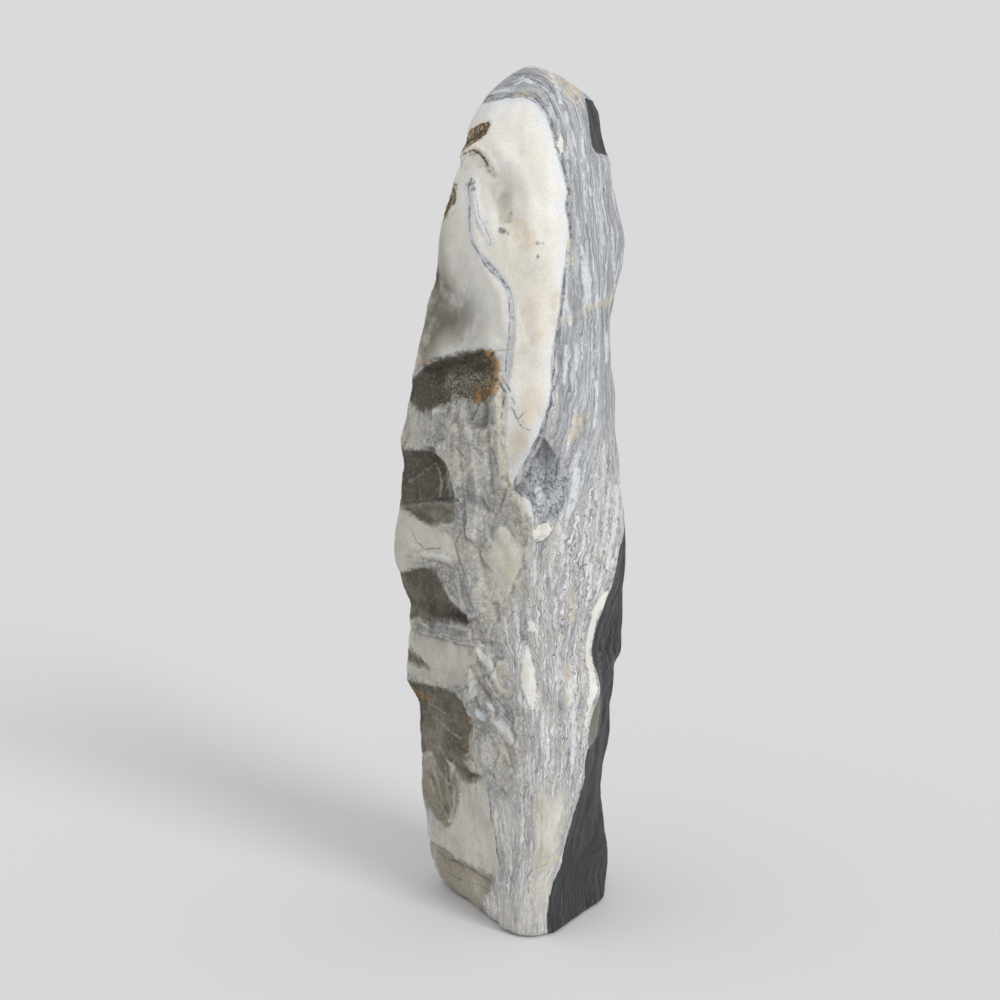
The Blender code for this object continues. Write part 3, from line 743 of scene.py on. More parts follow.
@dataclass
class Face:
    """The stone's surface as the frame has it, on which places are found.

    Attributes:
        node: the frame's node.
        sight: the camera's sight lines.
        miss_depth: where a sight line that misses the stone is stopped.
        tree: the surface's faces, ready for sight lines.
    """

    node: bpy.types.Object
    sight: Sight
    miss_depth: float = 0.042
    tree: BVHTree = field(init=False)

    def __post_init__(self) -> None:
        """Reads the node's faces."""
        mesh = self.node.data
        corners = [vertex.co.copy() for vertex in mesh.vertices]
        self.tree = BVHTree.FromPolygons(corners, [tuple(f.vertices) for f in mesh.polygons])

    def place(self, pixel: Pixel) -> tuple[float, float]:
        """Finds how far across and how high the camera sees a pixel on the stone."""
        hit = self.point(pixel)
        return hit.x, hit.z

    def point(self, pixel: Pixel) -> Vector:
        """Finds the point of the stone that the camera sees at a pixel.

        Args:
            pixel: the place in the camera's frame.

        Returns:
            The point, or one beside the stone where the sight line misses it.
        """
        eye = Vector(self.sight.eye)
        line = self.sight.line(pixel)
        hit = self.tree.ray_cast(eye, line)[0]
        if hit is None:
            hit = eye + line * ((self.miss_depth - eye.y) / line.y)
        return hit

    def outline(self, pixels: tuple[Pixel, ...]) -> Array:
        """Carries pixels onto the stone, as rows of across and height."""
        return np.array([self.place(pixel) for pixel in pixels])

    def depth_behind(self, points: Array) -> Array:
        """Measures how far points lie behind the front of the stone.

        Args:
            points: the points, one row each.

        Returns:
            Each point's distance behind the first surface met from the front.
        """
        ahead = Vector((0.0, 1.0, 0.0))
        behind = np.zeros(len(points))
        for index, (x, y, z) in enumerate(points):
            hit = self.tree.ray_cast(Vector((x, IN_FRONT, z)), ahead)[0]
            if hit is not None:
                behind[index] = max(0.0, y - hit.y)
        return behind


@dataclass
class Marking:
    """Works out what each point of the stone is made of.

    Attributes:
        face: the stone's surface.
        slant: how far the layers shift across for each metre into the stone.
        reach: how far from an outline its distance is still measured.
        front_fade: how fast a patch of the face alone ends behind the front.
        front_depth: how far behind the front it still holds.
        arch_height: from where to where the layers turn and arch over the shoulder.
        narrowest: the least width of the layers between two flows.
        cloud_depth: how far behind the front the soft clouds die out.
        far_side: how many half widths away a point without a seam is taken to be.
        behind: how far each point read last lies behind the front.
        places: where it lies on the face, along the layers, as rows of across and height.
        fade: how much a patch of the face alone has ended there.
        seam_depth: how deep the seam nearest to it is.
    """

    face: Face
    slant: float = 0.36
    reach: float = 0.06
    front_fade: float = 0.8
    front_depth: float = 0.012
    arch_height: tuple[float, float] = (1.34, 1.47)
    narrowest: float = 0.02
    cloud_depth: float = 0.10
    far_side: float = 50.0
    behind: Array = field(init=False)
    places: Array = field(init=False)
    fade: Array = field(init=False)
    seam_depth: Array = field(init=False)

    def near(self, path: Array) -> Array:
        """Gives the numbers of the places within reach of the box round a path."""
        low, high = path.min(axis=0) - self.reach, path.max(axis=0) + self.reach
        return np.flatnonzero(((self.places > low) & (self.places < high)).all(axis=1))

    def patch(self, patch: Patch) -> Array:
        """Measures how far inside a patch the places are.

        Args:
            patch: the patch.

        Returns:
            The distance to the patch's outline, positive inside it, within reach.
        """
        outline = self.face.outline(patch.outline)
        near = self.near(outline)
        depth = np.full(len(self.places), -self.reach)
        depth[near] = np.clip(inside_distance(outline, self.places[near]), -self.reach, self.reach)
        return depth if patch.through else depth - self.fade

    def patches(self, mark: Mark) -> Array:
        """Gives the distance to the nearest outline of a mark, positive inside it."""
        return np.max([self.patch(patch) for patch in PATCHES if patch.mark is mark], axis=0)

    def tones(self) -> Array:
        """Gives each place the tone of the stain it is in or nearest to.

        Returns:
            The tones, from 0 to 1.
        """
        stains = [patch for patch in PATCHES if patch.mark is Mark.STAIN]
        nearest = np.argmax([self.patch(patch) for patch in stains], axis=0)
        return np.array([patch.tone for patch in stains])[nearest]

    def seams(self) -> tuple[Array, Array, Array]:
        """Measures how far the places are from the dark seams.

        Returns:
            The signed distance in half widths, the distance in metres, and the seam's depth.
        """
        away = np.full(len(self.places), self.reach)
        side = np.full(len(self.places), self.far_side)
        depth = np.zeros(len(self.places))
        for seam in SEAMS:
            path = self.face.outline(seam.path)
            near = self.near(path)
            distance, turn = line_distance(path, self.places[near])
            closer = distance < away[near]
            chosen = near[closer]
            away[chosen] = distance[closer]
            side[chosen] = (distance * turn)[closer] / seam.half_width
            depth[chosen] = seam.depth
        return side, away + self.fade, depth

    def tints(self, mark: Mark) -> Array:
        """Measures how deep in the soft stains of one mark the places are.

        Args:
            mark: STREAK, CRYSTAL, TAN or RUST.

        Returns:
            The stain's reach less the distance to its line, in metres.
        """
        depth = np.full(len(self.places), -self.reach)
        for reach, pixels in TINTS[mark]:
            path = self.face.outline(pixels)
            near = self.near(path)
            distance = line_distance(path, self.places[near])[0]
            depth[near] = np.maximum(depth[near], reach - distance)
        return depth - self.fade

    def clouds(self, mark: Mark) -> Array:
        """Adds up the soft clouds of one mark. The olive ones are painted shade, the blue-grey ones
        partly painted shade, the pale ones partly painted light.

        Args:
            mark: SHADE, MIST or GLOW.

        Returns:
            How strong the cloud is, from 0 to 1.
        """
        shade = np.zeros(len(self.places))
        for centre, spread, strength in CLOUDS[mark]:
            away = (self.places - np.array(self.face.place(centre))) / np.array(spread)
            shade += strength * np.exp(-(away ** 2).sum(axis=1))
        return np.clip(shade, 0.0, 1.0) * eased(1.0 - self.behind / self.cloud_depth)

    def layers(self) -> Array:
        """Numbers the layers across the stone.

        Returns:
            How far through the bed each place lies, in metres, from the cream's edge.
        """
        across, height = self.places.T
        flows = [self.face.outline(flow) for flow in FLOWS]
        lines = [np.interp(height, flow[::-1, 1], flow[::-1, 0]) for flow in flows]
        layer = np.full(len(self.places), np.nan)
        for index, (left, right) in enumerate(zip(lines[:-1], lines[1:])):
            share = (across - left) / np.maximum(right - left, self.narrowest)
            first = index == 0
            last = index == len(flows) - 2
            here = ((share >= 0.0) | first) & ((share < 1.0) | last) & np.isnan(layer)
            layer[here] = (FIRST_FLOW + index + share[here]) * FLOW_STEP
        shoulder = inside_distance(self.face.outline(THROUGH[Mark.CREAM]), self.places)
        low, high = self.arch_height
        arch = eased((height - low) / (high - low))
        return layer * (1.0 - arch) - shoulder * arch

    def read(self, points: Array) -> dict[Mark, Array]:
        """Works out every mark for the points.

        Args:
            points: the stone's points, one row each.

        Returns:
            The marks' values, one for each point.
        """
        self.behind = self.face.depth_behind(points)
        self.places = np.stack([points[:, 0] + self.slant * self.behind, points[:, 2]], axis=1)
        self.fade = self.front_fade * np.maximum(0.0, self.behind - self.front_depth)
        marks = {mark: self.patches(mark) for mark in (
            Mark.CREAM, Mark.SLAB, Mark.STAIN, Mark.SLATE, Mark.VEIL, Mark.VUG, Mark.DARK,
            Mark.BROWN, Mark.PALE, Mark.STREAK, Mark.ROUGH)}
        marks[Mark.TONE] = self.tones()
        marks[Mark.INK_SIDE], marks[Mark.INK_AWAY], self.seam_depth = self.seams()
        marks[Mark.STREAK] = np.maximum(marks[Mark.STREAK], self.tints(Mark.STREAK))
        marks |= {mark: self.tints(mark) for mark in (Mark.CRYSTAL, Mark.TAN, Mark.RUST)}
        marks |= {mark: self.clouds(mark) for mark in CLOUDS}
        marks[Mark.LAYER] = self.layers()
        return marks


@dataclass
class Relief:
    """How the stone's surface stands up and falls back, in metres along its normals.

    Attributes:
        draw: which draw of the broken rock's facets it is.
        lip: how far the stained hollows fall back, over lip_run.
        facets: the sizes of the broken rock's facets, as cells to the metre and height.
        squat: how many facets stand above each other for each one across.
        tilt: how much they are turned at random.
        granules: how coarse the broken rock is.
        rib: how far the layers stand out, rib_waves times to the metre.
        swell: how uneven the cream rock is.
        flank_drop: how far the dark flank falls back, over flank_run.
        flutes: how far its flutes stand out.
        pit: how deep the brown pits are.
        foot_rise: how far up the relief fades in above the foot.
        cream_run: over what width the cream rock's relief fades in at its edge.
        slab_run: the same for the slabs.
        rough_run: the same for the rough side.
        back_depth: how far behind the front the rock breaks up, and over what width.
        back_rough: how rough it is there.
        calm_dark: how much less rough the dark flank is.
        calm_slab: how much less broken the slabs are.
        calm_stain: how much less broken the hollows are.
        bed_length: waves of the bedding to the metre along the layers.
        pit_run: over what width a pit sinks.
        seam_run: over what width a seam is opened.
        form_depth: how far behind the front the swells and ledges die out.
        ledge_step: how wide the step of a ledge is.
        ledge_crinkle: how far that step wanders.
        ledge_end: over what length a ledge fades at its ends.
        facet_step: how far apart a facet's slope is measured, in cells.
        facet_bend: how far the facets' bounds are bent, and in how many waves to the cell.
        facet_gap: how sharp the seam between two facets is.
    """

    draw: int = 1
    lip: float = 0.0018
    lip_run: float = 0.008
    facets: tuple[tuple[float, float], ...] = ((14.0, 0.0056), (30.0, 0.0050))
    squat: float = 0.62
    tilt: float = 2.2
    granules: float = 0.0010
    rib: float = 0.0012
    rib_waves: float = 70.0
    swell: float = 0.0016
    flank_drop: float = 0.0040
    flank_run: float = 0.010
    flutes: float = 0.0018
    pit: float = 0.0032
    foot_rise: float = 0.012
    cream_run: float = 0.008
    slab_run: float = 0.010
    rough_run: float = 0.03
    back_depth: float = 0.10
    back_rough: float = 0.8
    calm_dark: float = 0.6
    calm_slab: float = 0.7
    calm_stain: float = 0.4
    bed_length: float = 4.0
    pit_run: float = 0.003
    seam_run: float = 0.005
    form_depth: float = 0.12
    ledge_step: float = 0.004
    ledge_crinkle: float = 0.003
    ledge_end: float = 0.015
    facet_step: float = 0.3
    facet_bend: tuple[float, float] = (0.22, 1.9)
    facet_gap: float = 4.0

    def rolling(self, place: Vector) -> float:
        """Gives the smooth height that the facets follow."""
        return noise.noise(place * 0.45)

    def plane(self, cell: Vector) -> tuple[float, Vector]:
        """Finds the flat facet that touches the rolling height at a cell's middle.

        Args:
            cell: the cell's middle.

        Returns:
            The height there, and the slopes.
        """
        here = self.rolling(cell)
        step = self.facet_step
        slopes = [(self.rolling(cell + side * step) - here) / step for side in (
            Vector((1.0, 0.0, 0.0)), Vector((0.0, 1.0, 0.0)), Vector((0.0, 0.0, 1.0)))]
        return here, Vector(slopes) + self.tilt * noise.noise_vector(cell * 7.7)

    def chips(self, points: Array, cells_per_metre: float) -> tuple[Array, Array]:
        """Breaks the surface into flat facets.

        Args:
            points: the points, one row each.
            cells_per_metre: how many facets there are to the metre.

        Returns:
            Each point's height on its facet, about -1 to 1, and its facet's own tone, 0 to 1.
        """
        height = np.zeros(len(points))
        tone = np.zeros(len(points))
        planes = {}
        squat = np.array([1.0, 1.0, self.squat]) * cells_per_metre
        bend, waves = self.facet_bend
        for index, point in enumerate(points * squat):
            place = Vector(point)
            distances, cells = noise.voronoi(place + bend * noise.noise_vector(place * waves))
            shares = []
            for distance, cell in zip(distances[:2], cells[:2]):
                key = (round(cell.x, 4), round(cell.y, 4), round(cell.z, 4))
                if key not in planes:
                    planes[key] = self.plane(cell)
                base, slopes = planes[key]
                shares.append((distance, base + slopes.dot(place - cell)))
            (near, first), (far, second) = shares
            blend = min(0.5, max(0.0, 0.5 - (far - near) * self.facet_gap))
            height[index] = first * (1.0 - blend) + second * blend
            tone[index] = 0.5 + 0.5 * noise.noise(cells[0] * 5.3)
        return height, tone

    def forms(self, marking: Marking) -> Array:
        """Adds up the swells and ledges of the face.

        Args:
            marking: the stone's surface, and the places on it.

        Returns:
            How far each place moves out.
        """
        face, places = marking.face, marking.places
        total = np.zeros(len(places))
        for swell in SWELLS:
            away = line_distance(face.outline(swell.path), places)[0]
            total += swell.rise * np.exp(-(away / swell.reach) ** 2)
        crinkle = self.ledge_crinkle * grain(np.insert(places, 1, 0.0, axis=1), 60.0, 3, seed=6.0)
        for ledge in LEDGES:
            path = face.outline(ledge.path)
            away, turn = line_distance(path, places)
            side = eased((away * turn + crinkle) / self.ledge_step + 0.5)
            ends = np.minimum(np.hypot(*(places - path[0]).T), np.hypot(*(places - path[-1]).T))
            total += ledge.rise * side * np.exp(-away / ledge.run) * eased(ends / self.ledge_end)
        return total * eased(1.0 - marking.behind / self.form_depth)

    def height(self, points: Array, marks: dict[Mark, Array], marking: Marking) -> Array:
        """Adds up the relief.

        Args:
            points: the points, one row each.
            marks: what each point is made of; the facets' tones are added to them.
            marking: what worked the marks out.

        Returns:
            How far each point moves out along its normal.
        """
        noise.seed_set(self.draw)
        cream = eased(marks[Mark.CREAM] / self.cream_run + 0.5)
        stain = eased(marks[Mark.STAIN] / self.lip_run)
        dark = eased(marks[Mark.DARK] / self.flank_run)
        slab = eased(marks[Mark.SLAB] / self.slab_run + 0.5)
        rough = eased(marks[Mark.ROUGH] / self.rough_run + 0.5)
        back = eased((marking.behind - self.back_depth) / self.back_depth)
        back *= eased(grain(points, 7.0, 3, seed=5.0) * 2.0 + 0.5)
        rough = np.maximum(rough, self.back_rough * back) * (1.0 - cream) * (1.0 - self.calm_dark * dark)
        broken = rough * (1.0 - self.calm_slab * slab) * (1.0 - self.calm_stain * stain)
        ribs = (1.0 - cream) * (1.0 - rough) * (1.0 - stain)
        bed = np.stack([marks[Mark.LAYER] * self.rib_waves, points[:, 2] * self.bed_length,
                        points[:, 0] * self.bed_length], axis=1)
        bedding = grain(bed, 1.0, 3, seed=2.0)
        total = self.rib * ribs * bedding * (1.0 - dark)
        total += self.flutes * dark * bedding - self.flank_drop * dark
        marks[Mark.FACET] = np.zeros(len(points))
        for cells_per_metre, rise in self.facets:
            height, tone = self.chips(points, cells_per_metre)
            total += broken * rise * height
            marks[Mark.FACET] = 0.3 * marks[Mark.FACET] + 0.7 * tone
        total += broken * self.granules * grain(points, 90.0, 2, seed=3.0)
        total += self.swell * cream * grain(points, 14.0, 3, seed=4.0)
        total -= self.lip * stain
        total += self.forms(marking)
        pit = eased(marks[Mark.VUG] / self.pit_run + 0.3)
        total -= self.pit * pit * (0.55 + grain(points, 110.0, 3, seed=8.0))
        total -= marking.seam_depth * eased(1.0 - marks[Mark.INK_AWAY] / self.seam_run)
        return total * eased(points[:, 2] / self.foot_rise)


class NodeBench:
    """A material's node tree, and short ways to add to it."""

    MIX_NUMBERS = (0, 2, 3)  # a Mix node's inputs for the factor and two numbers
    MIX_COLOURS = (0, 6, 7)  # and for the factor and two colours

    def __init__(self, name: str) -> None:
        """Makes the material and its shader.

        Args:
            name: the material's name.
        """
        self.material = bpy.data.materials.new(name)
        self.material.use_nodes = True
        self.tree = self.material.node_tree
        self.shader = self.tree.nodes["Principled BSDF"]
        self.place = self.add("ShaderNodeTexCoord").outputs["Object"]

    def add(self, kind: str, **settings: object) -> bpy.types.Node:
        """Adds a node with its settings.

        Args:
            kind: the node's type.
            settings: its properties and their values.

        Returns:
            The node.
        """
        node = self.tree.nodes.new(kind)
        for name, value in settings.items():
            setattr(node, name, value)
        return node

    def feed(self, socket: Socket, value: object) -> None:
        """Links or sets an input.

        Args:
            socket: the input.
            value: another node's output, a number, or a colour of 0 to 255.
        """
        if isinstance(value, Socket):
            self.tree.links.new(value, socket)
        elif isinstance(value, tuple):
            socket.default_value = linear(value)
        else:
            socket.default_value = value

    def mark(self, mark: Mark) -> Socket:
        """Reads one of the stone's marks."""
        return self.add("ShaderNodeAttribute", attribute_name=mark.value).outputs["Fac"]

    def sum(self, operation: str, first: object, second: object = 0.0,
            third: object = 0.0) -> Socket:
        """Adds a Math node.

        Args:
            operation: what it works out.
            first: its first value.
            second: its second value.
            third: its third value.

        Returns:
            The result.
        """
        node = self.add("ShaderNodeMath", operation=operation)
        for socket, value in zip(node.inputs, (first, second, third)):
            self.feed(socket, value)
        return node.outputs[0]

    def noise(self, scale: float, detail: float = 3.0, roughness: float = 0.55,
              along: object = None, seed: float = 0.0) -> Socket:
        """Adds a Noise texture.

        Args:
            scale: waves to the metre.
            detail: how many finer layers it has.
            roughness: how strong those are.
            along: a fourth coordinate, such as the layers' number, if any.
            seed: shifts the fourth coordinate.

        Returns:
            The noise, from 0 to 1.
        """
        node = self.add("ShaderNodeTexNoise", noise_dimensions="4D")
        self.feed(node.inputs["Vector"], self.place)
        node.inputs["Scale"].default_value = scale
        node.inputs["Detail"].default_value = detail
        node.inputs["Roughness"].default_value = roughness
        if along is None:
            node.inputs["W"].default_value = seed
        else:
            self.feed(node.inputs["W"], self.sum("ADD", along, seed))
        return node.outputs["Fac"]

    def step(self, value: object, low: float, high: float) -> Socket:
        """Eases a value from 0 at low to 1 at high.

        Args:
            value: the value.
            low: where the result is 0.
            high: where the result is 1.

        Returns:
            The eased value.
        """
        node = self.add("ShaderNodeMapRange", interpolation_type="SMOOTHSTEP")
        self.feed(node.inputs["Value"], value)
        falling = low > high
        node.inputs["From Min"].default_value = min(low, high)
        node.inputs["From Max"].default_value = max(low, high)
        node.inputs["To Min"].default_value = 1.0 if falling else 0.0
        node.inputs["To Max"].default_value = 0.0 if falling else 1.0
        return node.outputs["Result"]

    def ridge(self, value: object, level: float, width: float) -> Socket:
        """Gives 1 where a value is at a level, falling to 0 a width away from it."""
        away = self.sum("ABSOLUTE", self.sum("SUBTRACT", value, level))
        return self.step(away, width, 0.0)

    def mix(self, factor: object, under: object, over: object,
            blend: str = "MIX") -> Socket:
        """Lays one colour over another.

        Args:
            factor: how much of the upper colour shows.
            under: the lower colour.
            over: the upper colour.
            blend: how they are mixed.

        Returns:
            The mixed colour.
        """
        node = self.add("ShaderNodeMix", data_type="RGBA", blend_type=blend, clamp_result=True)
        for index, value in zip(self.MIX_COLOURS, (factor, under, over)):
            self.feed(node.inputs[index], value)
        return node.outputs[2]

    def blend(self, factor: object, under: object, over: object) -> Socket:
        """Goes from one number to another.

        Args:
            factor: how far it has gone, from 0 to 1.
            under: the number at 0.
            over: the number at 1.

        Returns:
            The number between them.
        """
        node = self.add("ShaderNodeMix", data_type="FLOAT")
        for index, value in zip(self.MIX_NUMBERS, (factor, under, over)):
            self.feed(node.inputs[index], value)
        return node.outputs[0]

    def part(self, share: float, *masks: object) -> Socket:
        """Multiplies masks together, down to a share.

        Args:
            share: the most the result can be.
            masks: the masks.

        Returns:
            The product.
        """
        product = share
        for mask in masks:
            product = self.sum("MULTIPLY", mask, product)
        return product

    def over(self, under: object, upper: object, share: float, *masks: object) -> Socket:
        """Lays a share of one colour over another, where all masks show."""
        return self.mix(self.part(share, *masks), under, upper)

    def ramp(self, value: object, stops: tuple[tuple[float, Colour], ...]) -> Socket:
        """Turns a value into a colour.

        Args:
            value: the value.
            stops: the values and their colours.

        Returns:
            The colour.
        """
        node = self.add("ShaderNodeValToRGB")
        steps = node.color_ramp.elements
        while len(steps) < len(stops):
            steps.new(1.0)
        for step, (position, colour) in zip(steps, stops):
            step.position = position
            step.color = linear(colour)
        self.feed(node.inputs["Fac"], value)
        return node.outputs["Color"]


def linear(colour: Colour) -> tuple[float, float, float, float]:
    """Turns a screen colour into Blender's.

    Args:
        colour: its red, green and blue, of 0 to 255.

    Returns:
        The linear red, green and blue, of 0 to 1, and full cover.
    """
    shares = [channel / 255.0 for channel in colour]
    steps = [s / 12.92 if s <= 0.04045 else ((s + 0.055) / 1.055) ** 2.4 for s in shares]
    return steps[0], steps[1], steps[2], 1.0


@dataclass(frozen=True)
class MarbleFinish:
    """The finish of the stone, as colours of 0 to 255; some of them are painted light and shade."""

    deep_grey: Colour = (138, 141, 149)
    grey: Colour = (160, 162, 167)
    light_grey: Colour = (186, 189, 193)
    streak: Colour = (224, 229, 233)
    low_grey: Colour = (172, 174, 179)
    low_mid: Colour = (199, 199, 197)
    low_beige: Colour = (217, 214, 206)
    low_light: Colour = (236, 238, 240)
    fleck: Colour = (222, 214, 196)
    line: Colour = (82, 86, 99)
    sand: Colour = (203, 194, 174)
    cream: Colour = (234, 231, 221)
    cream_white: Colour = (242, 241, 236)
    cream_warm: Colour = (232, 221, 201)
    cream_cloud: Colour = (212, 210, 202)
    cream_margin: Colour = (230, 234, 238)
    slab_low: Colour = (186, 181, 168)
    slab_mid: Colour = (208, 204, 192)
    slab_high: Colour = (228, 225, 216)
    veil: Colour = (178, 180, 181)
    halo: Colour = (208, 212, 222)
    spot: Colour = (92, 97, 112)
    # painted shade, olive, laid over the cream where it turns away from the light
    painted_shade_olive: Colour = (108, 104, 89)
    rough_low: Colour = (150, 150, 146)
    rough_mid: Colour = (176, 176, 170)
    rough_high: Colour = (206, 204, 196)
    rough_blue: Colour = (170, 174, 182)
    rough_beige: Colour = (204, 197, 178)
    # light flecks of the rough rock; also the painted highlight on the crests
    rough_light: Colour = (226, 222, 212)
    # blue-grey darkening, partly painted shade on facets and under ledges
    blue_grey_and_shade: Colour = (100, 103, 110)
    # pale cream, partly painted light
    pale_and_lit: Colour = (226, 221, 208)
    # the hollows' stain, partly painted shade
    stain_and_shade_low: Colour = (62, 58, 49)
    stain_and_shade_mid: Colour = (80, 75, 64)
    stain_and_shade_high: Colour = (102, 96, 83)
    dun_low: Colour = (156, 148, 131)
    dun_mid: Colour = (178, 170, 154)
    dun_high: Colour = (204, 198, 183)
    crystal: Colour = (164, 158, 141)
    slate: Colour = (182, 186, 190)
    slate_mid: Colour = (162, 165, 168)
    slate_dark: Colour = (140, 142, 144)
    # the dark flank's colours, partly dark rock and partly painted deep shade
    dark: Colour = (31, 33, 37)
    dark_streak: Colour = (76, 79, 83)
    dark_deep: Colour = (20, 21, 25)
    dark_brown: Colour = (70, 65, 55)
    # brownish painted shade of that facet
    brown: Colour = (92, 87, 76)
    vug_low: Colour = (54, 42, 26)
    vug_mid: Colour = (124, 100, 62)
    vug_high: Colour = (196, 178, 144)
    tan: Colour = (222, 206, 174)
    rust: Colour = (182, 138, 78)
    speck_low: Colour = (236, 236, 236)
    speck_high: Colour = (255, 255, 255)


@dataclass(frozen=True)
class Edge:
    """How the edge of a mark is broken up.

    Attributes:
        coarse: how far its broad waves move it.
        fine: how far its narrow waves move it.
        seed: shifts the waves.
        low: how far inside the mark it starts to show.
        high: how far inside it is full.
    """

    coarse: float
    fine: float
    seed: float
    low: float
    high: float


EDGES = {
    Mark.ROUGH: Edge(0.014, 0.006, 2.0, -0.012, 0.012),
    Mark.SLAB: Edge(0.007, 0.003, 14.0, -0.005, 0.005),
    Mark.PALE: Edge(0.0030, 0.0026, 4.0, 0.0, 0.0026),
    Mark.SLATE: Edge(0.0030, 0.0020, 5.0, -0.0015, 0.0020),
    Mark.STREAK: Edge(0.0018, 0.0016, 20.0, -0.0004, 0.0034),
    Mark.CREAM: Edge(0.0022, 0.0010, 3.0, -0.0030, 0.0026),
    Mark.VEIL: Edge(0.0012, 0.0010, 16.0, -0.001, 0.005),
    Mark.TAN: Edge(0.004, 0.004, 6.0, -0.003, 0.005),
    Mark.DARK: Edge(0.0020, 0.0014, 7.0, -0.0008, 0.0008),
    Mark.BROWN: Edge(0.002, 0.001, 8.0, -0.001, 0.001),
    Mark.STAIN: Edge(0.0040, 0.0050, 9.0, -0.0060, 0.0055),
    Mark.VUG: Edge(0.0014, 0.0022, 18.0, -0.001, 0.001),
    Mark.RUST: Edge(0.005, 0.005, 10.0, -0.004, 0.007),
    Mark.CRYSTAL: Edge(0.014, 0.004, 98.0, 0.0, 0.014),
}


@dataclass(frozen=True)
class Lens:
    """A pattern of long closed lenses that lie along the layers.

    Attributes:
        waves: how many there are to the metre along the layers.
        across: how many there are to the metre across them.
        seed: shifts them.
    """

    waves: float
    across: float
    seed: float


LONG_LENSES = Lens(9.0, 46.0, 3.0)
SHORT_LENSES = Lens(15.0, 30.0, 4.0)
LOOPS = Lens(18.0, 50.0, 7.0)
DASHES = Lens(50.0, 110.0, 11.0)
FLECKS = Lens(24.0, 74.0, 12.0)
BEDDING = Lens(14.0, 130.0, 14.0)
ROUGH_LENSES = Lens(26.0, 50.0, 78.0)
DARK_LENSES = Lens(9.0, 80.0, 101.0)
DARK_LOOPS = Lens(16.0, 56.0, 109.0)
DARK_DASHES = Lens(50.0, 110.0, 112.0)


@dataclass(frozen=True)
class Break:
    """A mask that comes and goes.

    Attributes:
        waves: how many times to the metre.
        low: the noise where it starts.
        high: the noise where it is full.
        seed: shifts it.
    """

    waves: float
    low: float
    high: float
    seed: float


CALM = Break(13.0, 0.42, 0.62, 23.0)
BLUE_PARTS = Break(16.0, 0.48, 0.58, 75.0)
BEIGE_PARTS = Break(13.0, 0.51, 0.61, 77.0)
CRACKED_PARTS = Break(20.0, 0.46, 0.58, 90.0)
LINED_PARTS = Break(12.0, 0.44, 0.58, 88.0)
ORANGE_GRAINS = Break(100.0, 0.66, 0.71, 92.0)
SLATE_DOTS = Break(105.0, 0.54, 0.63, 118.0)
INK_BREAKS = Break(80.0, 0.36, 0.60, 133.0)
PALE_BREAKS = Break(55.0, 0.20, 0.44, 43.0)
PALE_WARMTH = Break(30.0, 0.46, 0.64, 42.0)
STREAK_BREAKS = Break(75.0, 0.30, 0.52, 44.0)
RAGGED = Break(24.0, 0.16, 0.56, 49.0)
BLOTCHES = Break(75.0, 0.46, 0.56, 45.0)
MOTTLE = Break(20.0, 0.14, 0.60, 121.0)
VEIL_BREAKS = Break(30.0, 0.20, 0.50, 19.0)
TAN_BREAKS = Break(70.0, 0.32, 0.58, 47.0)
RUST_BREAKS = Break(95.0, 0.38, 0.60, 48.0)


